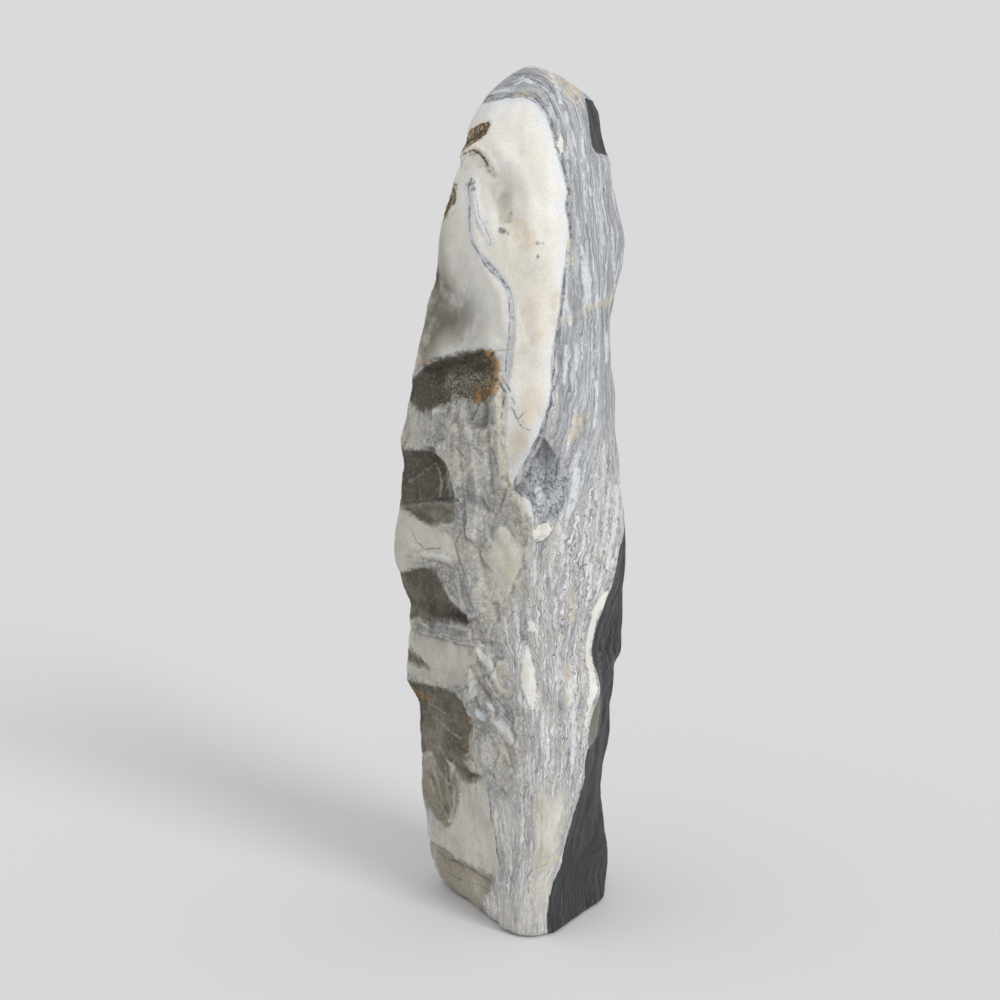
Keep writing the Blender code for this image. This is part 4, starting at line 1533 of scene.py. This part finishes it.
class MarbleShader(NodeBench):
    """The marble's node tree, with the colours of its finish.

    Attributes:
        hue: the colours.
        face: the stone's surface, on which the spots lie.
        masks: where each mark shows, once its nodes are made.
        height: how high a point is.
        low: 0 at the top of the stone, and 1 in its warmer lower half.
        layer: the crinkled number of the layer.
    """

    SPECULAR = 0.4
    BUMP_STRENGTH = 0.8

    def __init__(self, finish: MarbleFinish, face: Face) -> None:
        """Starts the material with what most of its nodes need.

        Args:
            finish: the colours.
            face: the stone's surface.
        """
        super().__init__(SLOT)
        self.hue = finish
        self.face = face
        self.masks: dict[Mark, Socket] = {}
        split = self.add("ShaderNodeSeparateXYZ")
        self.feed(split.inputs[0], self.place)
        self.height = split.outputs["Z"]
        self.low = self.step(self.warped(self.height, 0.06, 0.02, 41.0), 1.02, 0.72)
        layer = self.warped(self.mark(Mark.LAYER), 0.0028, 0.0006, 1.0)
        shiver = self.sum("SUBTRACT", self.noise(85.0, 2.0, 0.5, seed=12.0), 0.5)
        reach = self.sum("MULTIPLY_ADD", self.low, 0.0050, 0.0036)
        self.layer = self.sum("MULTIPLY_ADD", shiver, reach, layer)

    def warped(self, value: object, coarse: float, fine: float, seed: float) -> Socket:
        """Makes a distance crinkle.

        Args:
            value: the distance.
            coarse: how far waves of 40 mm move it.
            fine: how far waves of 8 mm move it.
            seed: shifts the waves.

        Returns:
            The crinkled distance.
        """
        wide = self.noise(26.0, 2.0, seed=seed)
        narrow = self.noise(120.0, 2.0, 0.5, seed=seed + 9.0)
        value = self.sum("MULTIPLY_ADD", self.sum("SUBTRACT", wide, 0.5), coarse * 4.0, value)
        return self.sum("MULTIPLY_ADD", self.sum("SUBTRACT", narrow, 0.5), fine * 4.0, value)

    def within(self, mark: Mark) -> Socket:
        """Makes the mask of a mark, with its edge broken up, and keeps it.

        Args:
            mark: the mark.

        Returns:
            1 inside the mark, and 0 outside it.
        """
        edge = EDGES[mark]
        crinkled = self.warped(self.mark(mark), edge.coarse, edge.fine, edge.seed)
        self.masks[mark] = self.step(crinkled, edge.low, edge.high)
        return self.masks[mark]

    def broken(self, parts: Break) -> Socket:
        """Makes a mask that comes and goes."""
        return self.step(self.noise(parts.waves, 3.0, 0.6, seed=parts.seed), parts.low, parts.high)

    def lenses(self, lens: Lens) -> Socket:
        """Makes a pattern of lenses, as a number whose levels are their outlines."""
        across = self.sum("MULTIPLY", self.layer, lens.across)
        return self.noise(lens.waves, 1.2, 0.45, along=across, seed=lens.seed)

    def outlines(self, lenses: object, levels: tuple[float, ...], width: float,
                 seed: float) -> Socket:
        """Draws thin broken lines round the lenses.

        Args:
            lenses: the lenses.
            levels: the levels that get a line.
            width: how broad a line is.
            seed: shifts the breaks.

        Returns:
            1 on a line.
        """
        lines = self.ridge(lenses, levels[0], width)
        for level in levels[1:]:
            lines = self.sum("MAXIMUM", lines, self.ridge(lenses, level, width))
        return self.sum("MULTIPLY", lines, self.broken(Break(90.0, 0.34, 0.56, seed)))

    def flecked(self, colour: object,
                *flecks: tuple[object, float, float, float, Colour]) -> Socket:
        """Lays flecks over a colour.

        Args:
            colour: the colour.
            flecks: for each kind its noise, where it starts and is full, its share and its colour.

        Returns:
            The flecked colour.
        """
        for grains, start, full, share, hue in flecks:
            colour = self.over(colour, hue, share, self.step(grains, start, full))
        return colour

    def banding(self) -> Socket:
        """Colours the wavy layers.

        Returns:
            The colour.
        """
        hue = self.hue
        top = self.ramp(self.lenses(LONG_LENSES), (
            (0.36, hue.deep_grey), (0.46, hue.grey), (0.55, hue.light_grey), (0.60, hue.streak)))
        dashes = self.lenses(DASHES)
        flecks = self.lenses(FLECKS)
        top = self.flecked(
            top, (dashes, 0.55, 0.63, 0.60, hue.streak), (dashes, 0.45, 0.37, 0.55, hue.line),
            (flecks, 0.54, 0.62, 0.35, hue.streak), (flecks, 0.45, 0.37, 0.35, hue.line))
        lines = self.outlines(self.lenses(LOOPS), (0.42, 0.57), 0.022, 5.0)
        top = self.over(top, hue.line, 0.6, lines)
        top = self.over(top, hue.grey, 0.30, self.broken(CALM))
        short = self.lenses(SHORT_LENSES)
        foot = self.ramp(short, (
            (0.37, hue.low_grey), (0.425, hue.low_mid), (0.49, hue.low_mid), (0.51, hue.low_beige),
            (0.565, hue.low_beige), (0.59, hue.low_light)))
        foot = self.flecked(
            foot, (flecks, 0.54, 0.61, 0.60, hue.low_light), (flecks, 0.46, 0.39, 0.60, hue.line),
            (dashes, 0.46, 0.38, 0.35, hue.line))
        lines = self.outlines(short, (0.415, 0.50, 0.585), 0.020, 6.0)
        foot = self.over(foot, hue.line, 0.90, lines)
        colour = self.mix(self.low, top, foot)
        sand = self.noise(10.0, 3.0, 0.6, along=self.sum("MULTIPLY", self.layer, 24.0), seed=21.0)
        colour = self.flecked(colour, (sand, 0.55, 0.66, 0.35, hue.sand))
        crumb = self.noise(60.0, 2.0, 0.5, along=self.sum("MULTIPLY", self.layer, 150.0), seed=17.0)
        return self.flecked(colour, (crumb, 0.66, 0.71, 0.8, hue.fleck))

    def cream_rock(self, depth: object) -> Socket:
        """Colours the cream rock, with clouds, and with faint warm veils in its low part.

        Args:
            depth: how far inside the cream shoulder a point is.

        Returns:
            The colour.
        """
        hue = self.hue
        cloud = self.noise(10.0, 4.0, 0.6, seed=51.0)
        colour = self.ramp(cloud, ((0.30, hue.cream_cloud), (0.44, hue.cream), (0.64, hue.cream_white)))
        sunk = self.step(self.height, 1.25, 0.95)
        warm = self.sum("MULTIPLY_ADD", sunk, 0.12, self.noise(7.0, 4.0, 0.62, seed=57.0))
        warm = self.step(warm, 0.46, 0.62)
        share = self.blend(sunk, 0.30, 0.95)
        colour = self.mix(self.sum("MULTIPLY", warm, share), colour, hue.cream_warm)
        margin = self.warped(depth, 0.008, 0.002, 53.0)
        colour = self.flecked(colour, (margin, 0.026, 0.002, 0.80, hue.cream_margin))
        crumb = self.noise(240.0, 3.0, 0.6, seed=60.0)
        return self.flecked(colour, (crumb, 0.50, 0.70, 0.13, hue.slab_low))

    def slab_rock(self) -> Socket:
        """Colours the weathered smooth slabs.

        Returns:
            The colour.
        """
        hue = self.hue
        body = self.noise(17.0, 5.0, 0.62, seed=61.0)
        colour = self.ramp(body, ((0.34, hue.slab_low), (0.50, hue.slab_mid), (0.66, hue.slab_high)))
        crumb = self.noise(200.0, 3.0, 0.6, seed=64.0)
        return self.flecked(colour, (crumb, 0.52, 0.68, 0.3, hue.rough_low))

    def rough_rock(self) -> Socket:
        """Colours the rough broken rock.

        Returns:
            The colour.
        """
        hue = self.hue
        body = self.noise(30.0, 4.0, 0.62, seed=71.0)
        colour = self.ramp(body, ((0.34, hue.rough_low), (0.50, hue.rough_mid), (0.64, hue.rough_high)))
        colour = self.over(colour, hue.rough_blue, 0.6, self.broken(BLUE_PARTS))
        colour = self.over(colour, hue.rough_beige, 0.7, self.broken(BEIGE_PARTS))
        facet = self.mark(Mark.FACET)
        colour = self.flecked(colour, (facet, 0.48, 0.40, 0.60, hue.rough_low),
                              (facet, 0.53, 0.61, 0.55, hue.rough_high))
        light = self.noise(165.0, 4.0, 0.70, seed=83.0)
        colour = self.flecked(colour, (light, 0.51, 0.60, 0.65, hue.rough_light))
        pit = self.noise(190.0, 4.0, 0.70, seed=86.0)
        colour = self.flecked(colour, (pit, 0.45, 0.36, 0.50, hue.stain_and_shade_mid))
        crack = self.ridge(self.noise(38.0, 3.0, 0.6, seed=89.0), 0.5, 0.012)
        colour = self.over(colour, hue.line, 0.55, crack, self.broken(CRACKED_PARTS))
        lines = self.outlines(self.lenses(ROUGH_LENSES), (0.43, 0.56), 0.018, 79.0)
        colour = self.over(colour, hue.line, 0.6, lines, self.broken(LINED_PARTS))
        return self.over(colour, hue.tan, 0.5, self.broken(ORANGE_GRAINS))

    def stained_and_shaded_rock(self) -> Socket:
        """Colours the weathered hollows, dark or dun by the tone of each: partly their own stain, partly
        painted shade.

        Returns:
            The colour.
        """
        hue = self.hue
        tone = self.mark(Mark.TONE)
        body = self.noise(14.0, 4.0, 0.58, seed=91.0)
        deep = self.ramp(body, ((0.34, hue.stain_and_shade_low), (0.50, hue.stain_and_shade_mid), (0.66, hue.stain_and_shade_high)))
        light = self.ramp(body, ((0.34, hue.dun_low), (0.50, hue.dun_mid), (0.66, hue.dun_high)))
        colour = self.mix(self.step(tone, 0.0, 1.0), deep, light)
        fine = self.noise(150.0, 4.0, 0.65, seed=95.0)
        colour = self.flecked(colour, (fine, 0.50, 0.68, 0.22, hue.dun_high),
                              (fine, 0.48, 0.34, 0.35, hue.stain_and_shade_low))
        near = self.within(Mark.CRYSTAL)
        grown = self.noise(230.0, 3.0, 0.65, seed=97.0)
        colour = self.over(colour, hue.stain_and_shade_low, 0.70, self.step(grown, 0.44, 0.36), near)
        return self.over(colour, hue.crystal, 0.85, self.step(grown, 0.47, 0.55), near)

    def dark_and_shaded_flank(self) -> Socket:
        """Colours the dark flank, partly its own dark rock and partly painted deep shade.

        Returns:
            The colour.
        """
        hue = self.hue
        body = self.lenses(DARK_LENSES)
        colour = self.ramp(body, ((0.38, hue.dark_deep), (0.50, hue.dark), (0.62, hue.dark_streak)))
        slow = self.sum("MULTIPLY", self.layer, 24.0)
        brown = self.noise(8.0, 4.0, 0.6, along=slow, seed=107.0)
        colour = self.flecked(colour, (brown, 0.50, 0.64, 0.7, hue.dark_brown))
        night = self.noise(10.0, 3.0, 0.6, along=slow, seed=119.0)
        colour = self.flecked(colour, (night, 0.50, 0.62, 0.8, hue.dark_deep))
        lines = self.outlines(self.lenses(DARK_LOOPS), (0.45, 0.55), 0.016, 110.0)
        colour = self.over(colour, hue.dark_streak, 0.5, lines)
        return self.flecked(colour, (self.lenses(DARK_DASHES), 0.53, 0.62, 0.45, hue.dark_streak))

    def slate_rock(self) -> Socket:
        """Colours the slate wedge, with its wavy outlines.

        Returns:
            The colour.
        """
        hue = self.hue
        body = self.noise(26.0, 4.0, 0.6, seed=111.0)
        colour = self.ramp(body, ((0.36, hue.slate_dark), (0.46, hue.slate_mid), (0.58, hue.slate)))
        lines = self.outlines(self.noise(44.0, 3.0, 0.55, seed=113.0), (0.45, 0.56), 0.026, 114.0)
        colour = self.over(colour, hue.line, 0.85, lines)
        return self.over(colour, hue.line, 0.80, self.broken(SLATE_DOTS))

    def vug_rock(self) -> Socket:
        """Colours the brown crystalline pits."""
        body = self.noise(110.0, 4.0, 0.7, seed=115.0)
        return self.ramp(body, (
            (0.36, self.hue.vug_low), (0.50, self.hue.vug_mid), (0.68, self.hue.vug_high)))

    def spots(self) -> Socket:
        """Draws the small blue-grey spots.

        Returns:
            1 in the middle of a spot, falling to 0.
        """
        ragged = self.sum("MULTIPLY_ADD", self.noise(85.0, 3.0, 0.6, seed=117.0), 3.6, -0.8)
        total = None
        for spot in SPOTS:
            gap = self.add("ShaderNodeVectorMath", operation="DISTANCE")
            self.feed(gap.inputs[0], self.place)
            gap.inputs[1].default_value = self.face.point(spot.centre)
            reach = self.sum("DIVIDE", gap.outputs["Value"], spot.radius)
            here = self.step(self.sum("MULTIPLY", reach, ragged), 1.5, 0.3)
            total = here if total is None else self.sum("MAXIMUM", total, here)
        return total

    def ink(self) -> tuple[Socket, Socket]:
        """Draws the dark seams.

        Returns:
            How dark the seam is, and how strong its pale halo is.
        """
        away = self.mark(Mark.INK_AWAY)
        close = self.step(away, 0.0075, 0.0045)
        wobble = self.sum("MULTIPLY_ADD", self.noise(50.0, 2.0, 0.5, seed=131.0), 5.0, -2.5)
        side = self.sum("ABSOLUTE", self.sum("ADD", self.mark(Mark.INK_SIDE), wobble))
        dark = self.part(1.0, self.step(side, 1.5, 0.2), close, self.broken(INK_BREAKS))
        return dark, self.step(away, 0.012, 0.001)

    def face_rock(self, colour: object) -> Socket:
        """Lays the rough side, the slabs, lenses, wedge and streaks over the layers, then the blue-grey
        clouds, partly painted shade, and the pale clouds, partly painted light.

        Args:
            colour: the layers.

        Returns:
            The colour with them.
        """
        hue = self.hue
        colour = self.mix(self.within(Mark.ROUGH), colour, self.rough_rock())
        slab = self.part(0.75, self.within(Mark.SLAB))
        colour = self.mix(slab, colour, self.slab_rock())
        pale = self.part(0.95, self.within(Mark.PALE), self.broken(PALE_BREAKS))
        warm = self.part(0.45, self.broken(PALE_WARMTH))
        colour = self.mix(pale, colour, self.mix(warm, hue.cream_white, hue.cream_warm))
        colour = self.mix(self.within(Mark.SLATE), colour, self.slate_rock())
        streak = self.part(0.85, self.within(Mark.STREAK), self.broken(STREAK_BREAKS))
        self.masks[Mark.STREAK] = streak
        colour = self.mix(streak, colour, hue.streak)
        ragged = self.broken(RAGGED)
        # blue-grey clouds: partly the rock's own grey, partly painted shade
        colour = self.over(colour, hue.blue_grey_and_shade, 0.75, self.mark(Mark.MIST), ragged)
        # pale clouds: partly paler rock, partly painted light on lit facets and the foot
        return self.over(colour, hue.pale_and_lit, 0.75, self.mark(Mark.GLOW), ragged)

    def shoulder(self, colour: object) -> Socket:
        """Lays the cream shoulder over the layers, with its blotched edge, painted olive shade and
        veins.

        Args:
            colour: the layers.

        Returns:
            The colour with it.
        """
        hue = self.hue
        depth = self.mark(Mark.CREAM)
        edge = EDGES[Mark.CREAM]
        crinkled = self.warped(depth, edge.coarse, edge.fine, edge.seed)
        self.masks[Mark.CREAM] = self.step(crinkled, edge.low, edge.high)
        blotch = self.ridge(crinkled, -0.0045, 0.0042)
        colour = self.over(colour, hue.line, 0.80, blotch, self.broken(BLOTCHES))
        colour = self.mix(self.masks[Mark.CREAM], colour, self.cream_rock(depth))
        mottle = self.broken(MOTTLE)
        # painted shade: olive darkening of the cream on its left flank, in its dish and at its tip
        colour = self.over(colour, hue.painted_shade_olive, 0.95, self.mark(Mark.SHADE), mottle)
        colour = self.over(colour, hue.veil, 0.85, self.within(Mark.VEIL), self.broken(VEIL_BREAKS))
        return self.over(colour, hue.tan, 0.55, self.within(Mark.TAN), self.broken(TAN_BREAKS))

    def weathered(self, colour: object) -> Socket:
        """Lays the dark flank, the stained hollows, the pits and the rust over the rock; the flank and
        the hollows are partly painted shade.

        Args:
            colour: the rock.

        Returns:
            The colour with them.
        """
        hue = self.hue
        # the dark flank: partly dark rock, partly painted deep shade
        colour = self.mix(self.within(Mark.DARK), colour, self.dark_and_shaded_flank())
        # painted shade on the facet between the lit front and the dark flank
        colour = self.over(colour, hue.brown, 0.8, self.within(Mark.BROWN))
        # the stains: partly the rock's own stain, partly painted shade in the hollows
        stain = self.within(Mark.STAIN)
        colour = self.mix(stain, colour, self.stained_and_shaded_rock())
        colour = self.over(colour, hue.dun_high, 0.60, stain, self.masks[Mark.STREAK])
        colour = self.mix(self.within(Mark.VUG), colour, self.vug_rock())
        return self.over(colour, hue.rust, 0.8, self.within(Mark.RUST), self.broken(RUST_BREAKS))

    def lined(self, colour: object) -> Socket:
        """Draws the seams and spots, paints shade into the creases and paints highlights onto the
        crests.

        Args:
            colour: the rock.

        Returns:
            The colour with them.
        """
        hue = self.hue
        ink, halo = self.ink()
        colour = self.over(colour, hue.halo, 0.5, halo, self.masks[Mark.CREAM])
        colour = self.over(colour, hue.line, 0.80, ink)
        colour = self.over(colour, hue.spot, 0.8, self.spots())
        # painted shade: darker colour in the creases of the surface
        crease = self.step(self.mark(Mark.EDGE), -0.1, -1.0)
        colour = self.over(colour, hue.stain_and_shade_mid, 0.35, crease)
        # painted highlight: lighter colour on the crests, weaker on the stains and the dark flank
        crest = self.step(self.mark(Mark.EDGE), 0.25, 1.0)
        highlight_off_stains = self.blend(self.masks[Mark.STAIN], 1.0, 0.15)
        highlight_off_flank = self.blend(self.masks[Mark.DARK], 1.0, 0.1)
        return self.over(colour, hue.rough_light, 0.40, crest, highlight_off_stains, highlight_off_flank)

    def gloss(self, speck: object) -> None:
        """Sets how rough each rock is.

        Args:
            speck: fine noise that the roughness follows.
        """
        gloss = self.blend(self.masks[Mark.CREAM], 0.66, 0.52)
        gloss = self.blend(self.masks[Mark.ROUGH], gloss, 0.78)
        gloss = self.blend(self.masks[Mark.DARK], gloss, 0.58)
        gloss = self.sum("MULTIPLY_ADD", speck, 0.16, gloss)
        self.feed(self.shader.inputs["Roughness"], self.sum("SUBTRACT", gloss, 0.08))
        self.shader.inputs["Specular IOR Level"].default_value = self.SPECULAR

    def bump(self) -> None:
        """Raises the finest grit and the bedding, which the mesh is too coarse for."""
        cream = self.masks[Mark.CREAM]
        grit = self.noise(170.0, 4.0, 0.65, seed=151.0)
        bedding = self.lenses(BEDDING)
        rise = self.sum("MULTIPLY", bedding, self.blend(cream, 0.0016, 0.0))
        coarse = self.blend(self.masks[Mark.ROUGH], self.blend(cream, 0.0010, 0.0006), 0.0036)
        rise = self.sum("MULTIPLY_ADD", grit, coarse, rise)
        bump = self.add("ShaderNodeBump")
        bump.inputs["Strength"].default_value = self.BUMP_STRENGTH
        bump.inputs["Distance"].default_value = 1.0
        self.feed(bump.inputs["Height"], rise)
        self.feed(self.shader.inputs["Normal"], bump.outputs["Normal"])

    def build(self) -> bpy.types.Material:
        """Builds the marble from the layers up.

        Returns:
            The material.
        """
        colour = self.face_rock(self.banding())
        colour = self.lined(self.weathered(self.shoulder(colour)))
        speck = self.noise(420.0, 2.0, 0.6, seed=141.0)
        tone = self.ramp(speck, ((0.34, self.hue.speck_low), (0.60, self.hue.speck_high)))
        colour = self.mix(1.0, colour, tone, "MULTIPLY")
        self.feed(self.shader.inputs["Base Color"], colour)
        self.gloss(speck)
        self.bump()
        return self.material


@dataclass
class MarbleBlock:
    """The block itself: the frame's solid, remeshed finely, carved and marked.

    Attributes:
        face: the stone's surface as the frame has it.
        voxel: how fine the carved surface is.
        facets: how many triangles the finished piece keeps.
        smoothing: how often the fresh skin is smoothed.
        smooth_share: how far each smoothing goes.
        weld: points closer than this are joined.
        side_ease: how much lower the relief is on the sides than on the front.
        edge_blends: how many steps from a point its surroundings reach.
        edge_bend: how far a point stands out on the sharpest crest.
        layer_blends: how often the layers' numbers are averaged with their neighbours'.
        foot_flat: points lower than this are set on the ground.
        relief: the relief.
        finish: the colours.
        piece: the piece, once it is roughed out.
    """

    face: Face
    voxel: float = 0.0035
    facets: int = 194_000
    smoothing: int = 6
    smooth_share: float = 0.5
    weld: float = 0.00001
    side_ease: float = 0.55
    edge_blends: int = 3
    edge_bend: float = 0.0006
    layer_blends: int = 4
    foot_flat: float = 0.002
    relief: Relief = field(default_factory=Relief)
    finish: MarbleFinish = field(default_factory=MarbleFinish)
    piece: bpy.types.Object = field(init=False)

    def select(self) -> None:
        """Selects the piece alone and makes it active."""
        bpy.ops.object.select_all(action="DESELECT")
        self.piece.select_set(True)
        bpy.context.view_layer.objects.active = self.piece

    def rough_out(self) -> None:
        """Copies the frame's solid and gives it a fine, even skin."""
        self.piece = bpy.data.objects.new("marble_stone", self.face.node.data.copy())
        bpy.context.scene.collection.objects.link(self.piece)
        self.piece.data.materials.clear()
        self.select()
        bpy.ops.object.mode_set(mode="EDIT")
        bpy.ops.mesh.select_all(action="SELECT")
        bpy.ops.mesh.remove_doubles(threshold=self.weld)
        bpy.ops.mesh.normals_make_consistent(inside=False)
        bpy.ops.object.mode_set(mode="OBJECT")
        self.modify("REMESH", mode="VOXEL", voxel_size=self.voxel, use_smooth_shade=True)
        self.modify("SMOOTH", factor=self.smooth_share, iterations=self.smoothing)

    def modify(self, kind: str, **settings: object) -> None:
        """Applies a modifier to the piece.

        Args:
            kind: the modifier's type.
            settings: its properties and their values.
        """
        modifier = self.piece.modifiers.new(kind.lower(), kind)
        for name, value in settings.items():
            setattr(modifier, name, value)
        bpy.ops.object.modifier_apply(modifier=modifier.name)

    def rows(self, name: str) -> Array:
        """Reads one property of the piece's points.

        Args:
            name: the property's name.

        Returns:
            Its values, one row of three for each point.
        """
        flat = np.empty(len(self.piece.data.vertices) * 3, np.float32)
        self.piece.data.vertices.foreach_get(name, flat)
        return flat.reshape(-1, 3).astype(float)

    def edges(self) -> Array:
        """Reads the piece's edges.

        Returns:
            The numbers of the two points of each, one row each.
        """
        flat = np.empty(len(self.piece.data.edges) * 2, np.int32)
        self.piece.data.edges.foreach_get("vertices", flat)
        return flat.reshape(-1, 2)

    def blended(self, values: Array, times: int) -> Array:
        """Averages each point's value with those of its neighbours.

        Args:
            values: the values, one for each point or one row each.
            times: how often it is done.

        Returns:
            The averages.
        """
        edges = self.edges()
        for _ in range(times):
            total = values.copy()
            count = np.ones(len(values))
            for here, there in ((0, 1), (1, 0)):
                np.add.at(total, edges[:, here], values[edges[:, there]])
                count += np.bincount(edges[:, here], minlength=len(values))
            values = total / (count[:, None] if values.ndim == 2 else count)
        return values

    def write(self, points: Array) -> None:
        """Moves the piece's points, fitted into the frame's box with the foot flat.

        Args:
            points: where its points go, one row each.
        """
        low, high = (np.array(corner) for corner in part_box(NODE))
        now_low, now_high = points.min(axis=0), points.max(axis=0)
        fitted = low + (points - now_low) * (high - low) / (now_high - now_low)
        fitted[:, 2] = np.where(fitted[:, 2] < self.foot_flat, low[2], fitted[:, 2])
        self.piece.data.vertices.foreach_set("co", fitted.astype(np.float32).ravel())
        self.piece.data.update()

    def carve(self, marking: Marking) -> None:
        """Moves the points along their normals into the stone's relief.

        Args:
            marking: what the stone is made of.
        """
        points = self.rows("co")
        marks = marking.read(points)
        height = self.relief.height(points, marks, marking)
        normals = self.rows("normal")
        height *= 1.0 - self.side_ease * (1.0 - np.abs(normals[:, 1]))
        self.write(points + normals * height[:, None])
        self.label(Mark.FACET, marks[Mark.FACET])
        self.feel_edges()

    def thin(self) -> None:
        """Thins the skin where it is plain, and keeps it fine at edges."""
        self.select()
        now = sum(len(face.vertices) - 2 for face in self.piece.data.polygons)
        self.modify("DECIMATE", ratio=min(1.0, self.facets / now))
        self.write(self.rows("co"))

    def feel_edges(self) -> None:
        """Writes how sharply the skin bends, from -1 in a crease to 1 on a crest."""
        points = self.rows("co")
        broad = self.blended(points, self.edge_blends)
        bend = ((points - broad) * self.rows("normal")).sum(axis=1)
        self.label(Mark.EDGE, np.clip(bend / self.edge_bend, -1.0, 1.0))

    def label(self, mark: Mark, values: Array) -> None:
        """Writes one mark into the piece's attributes."""
        attribute = self.piece.data.attributes.new(mark.value, "FLOAT", "POINT")
        attribute.data.foreach_set("value", values.astype(np.float32))

    def mark(self, marking: Marking) -> None:
        """Writes all marks into the piece's attributes.

        Args:
            marking: what the stone is made of.
        """
        marks = marking.read(self.rows("co"))
        marks[Mark.LAYER] = self.blended(marks[Mark.LAYER], self.layer_blends)
        for mark, values in marks.items():
            self.label(mark, values)

    def build(self) -> bpy.types.Object:
        """Builds and dresses the block.

        Returns:
            The finished piece.
        """
        marking = Marking(self.face)
        self.rough_out()
        self.carve(marking)
        self.thin()
        self.mark(marking)
        piece = self.piece
        piece.data.materials.append(MarbleShader(self.finish, self.face).build())
        self.select()
        bpy.ops.object.shade_smooth()
        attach(piece, BODY)
        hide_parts(NODE)
        return piece


@dataclass(frozen=True)
class Lamp:
    """A soft far lamp of the studio, which lights all of the floor alike.

    Attributes:
        name: its name.
        place: the side it shines from.
        target: what it points at.
        softness: how wide it looks from the stone, in degrees.
        strength: how strong it is.
        colour: its colour, linear.
    """

    name: str
    place: tuple[float, float, float]
    target: tuple[float, float, float]
    softness: float
    strength: float
    colour: tuple[float, float, float]

    def add(self) -> None:
        """Puts the lamp in the scene."""
        aim = Vector(self.target) - Vector(self.place)
        turn = aim.to_track_quat("-Z", "Y").to_euler()
        bpy.ops.object.light_add(type="SUN", location=self.place, rotation=turn)
        lamp = bpy.context.object
        lamp.name = self.name
        lamp.data.angle = math.radians(self.softness)
        lamp.data.energy = self.strength
        lamp.data.color = self.colour


@dataclass(frozen=True)
class Studio:
    """The plain pale studio that the stone stands in.

    Attributes:
        floor_width: how wide the floor is.
        floor_colour: its colour.
        floor_roughness: how rough it is.
        floor_specular: how much it shines.
        sky: how bright the air is.
        lamps: the lamps.
    """

    floor_width: float = 60.0
    floor_colour: Colour = (225, 225, 227)
    floor_roughness: float = 0.9
    floor_specular: float = 0.1
    sky: float = 0.70
    lamps: tuple[Lamp, ...] = (
        Lamp("key_lamp", (2.4, -2.6, 2.9), (0.0, 0.0, 0.8), 22.0, 1.45, (1.0, 0.985, 0.955)),
    )

    def floor(self) -> bpy.types.Object:
        """Lays the floor.

        Returns:
            The floor.
        """
        bpy.ops.mesh.primitive_plane_add(size=self.floor_width, location=(0.0, 0.0, 0.0))
        floor = bpy.context.object
        floor.name = "studio_floor"
        bench = NodeBench("studio_floor")
        bench.feed(bench.shader.inputs["Base Color"], self.floor_colour)
        bench.shader.inputs["Roughness"].default_value = self.floor_roughness
        bench.shader.inputs["Specular IOR Level"].default_value = self.floor_specular
        floor.data.materials.append(bench.material)
        return floor

    def build(self, sight: Sight) -> None:
        """Lights the studio and places the camera.

        Args:
            sight: the camera's place and lens.
        """
        self.floor()
        for lamp in self.lamps:
            lamp.add()
        world = bpy.context.scene.world or bpy.data.worlds.new("studio_air")
        bpy.context.scene.world = world
        world.use_nodes = True
        air = world.node_tree.nodes["Background"]
        air.inputs["Color"].default_value = (1.0, 1.0, 1.0, 1.0)
        air.inputs["Strength"].default_value = self.sky
        bpy.context.scene.view_settings.view_transform = "Standard"
        sight.camera()


def main() -> None:
    """Builds the stone and its studio, and reports each piece."""
    logging.basicConfig(level=logging.INFO, format="%(message)s")
    log = logging.getLogger("marble_block")
    sight = Sight()
    face = Face(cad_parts[NODE], sight)
    stone = MarbleBlock(face).build()
    log.info("%s: %d points, %d faces", stone.name, len(stone.data.vertices), len(stone.data.polygons))
    Studio().build(sight)
    log.info("studio: floor, lamps and camera")


if __name__ == "__main__":
    main()
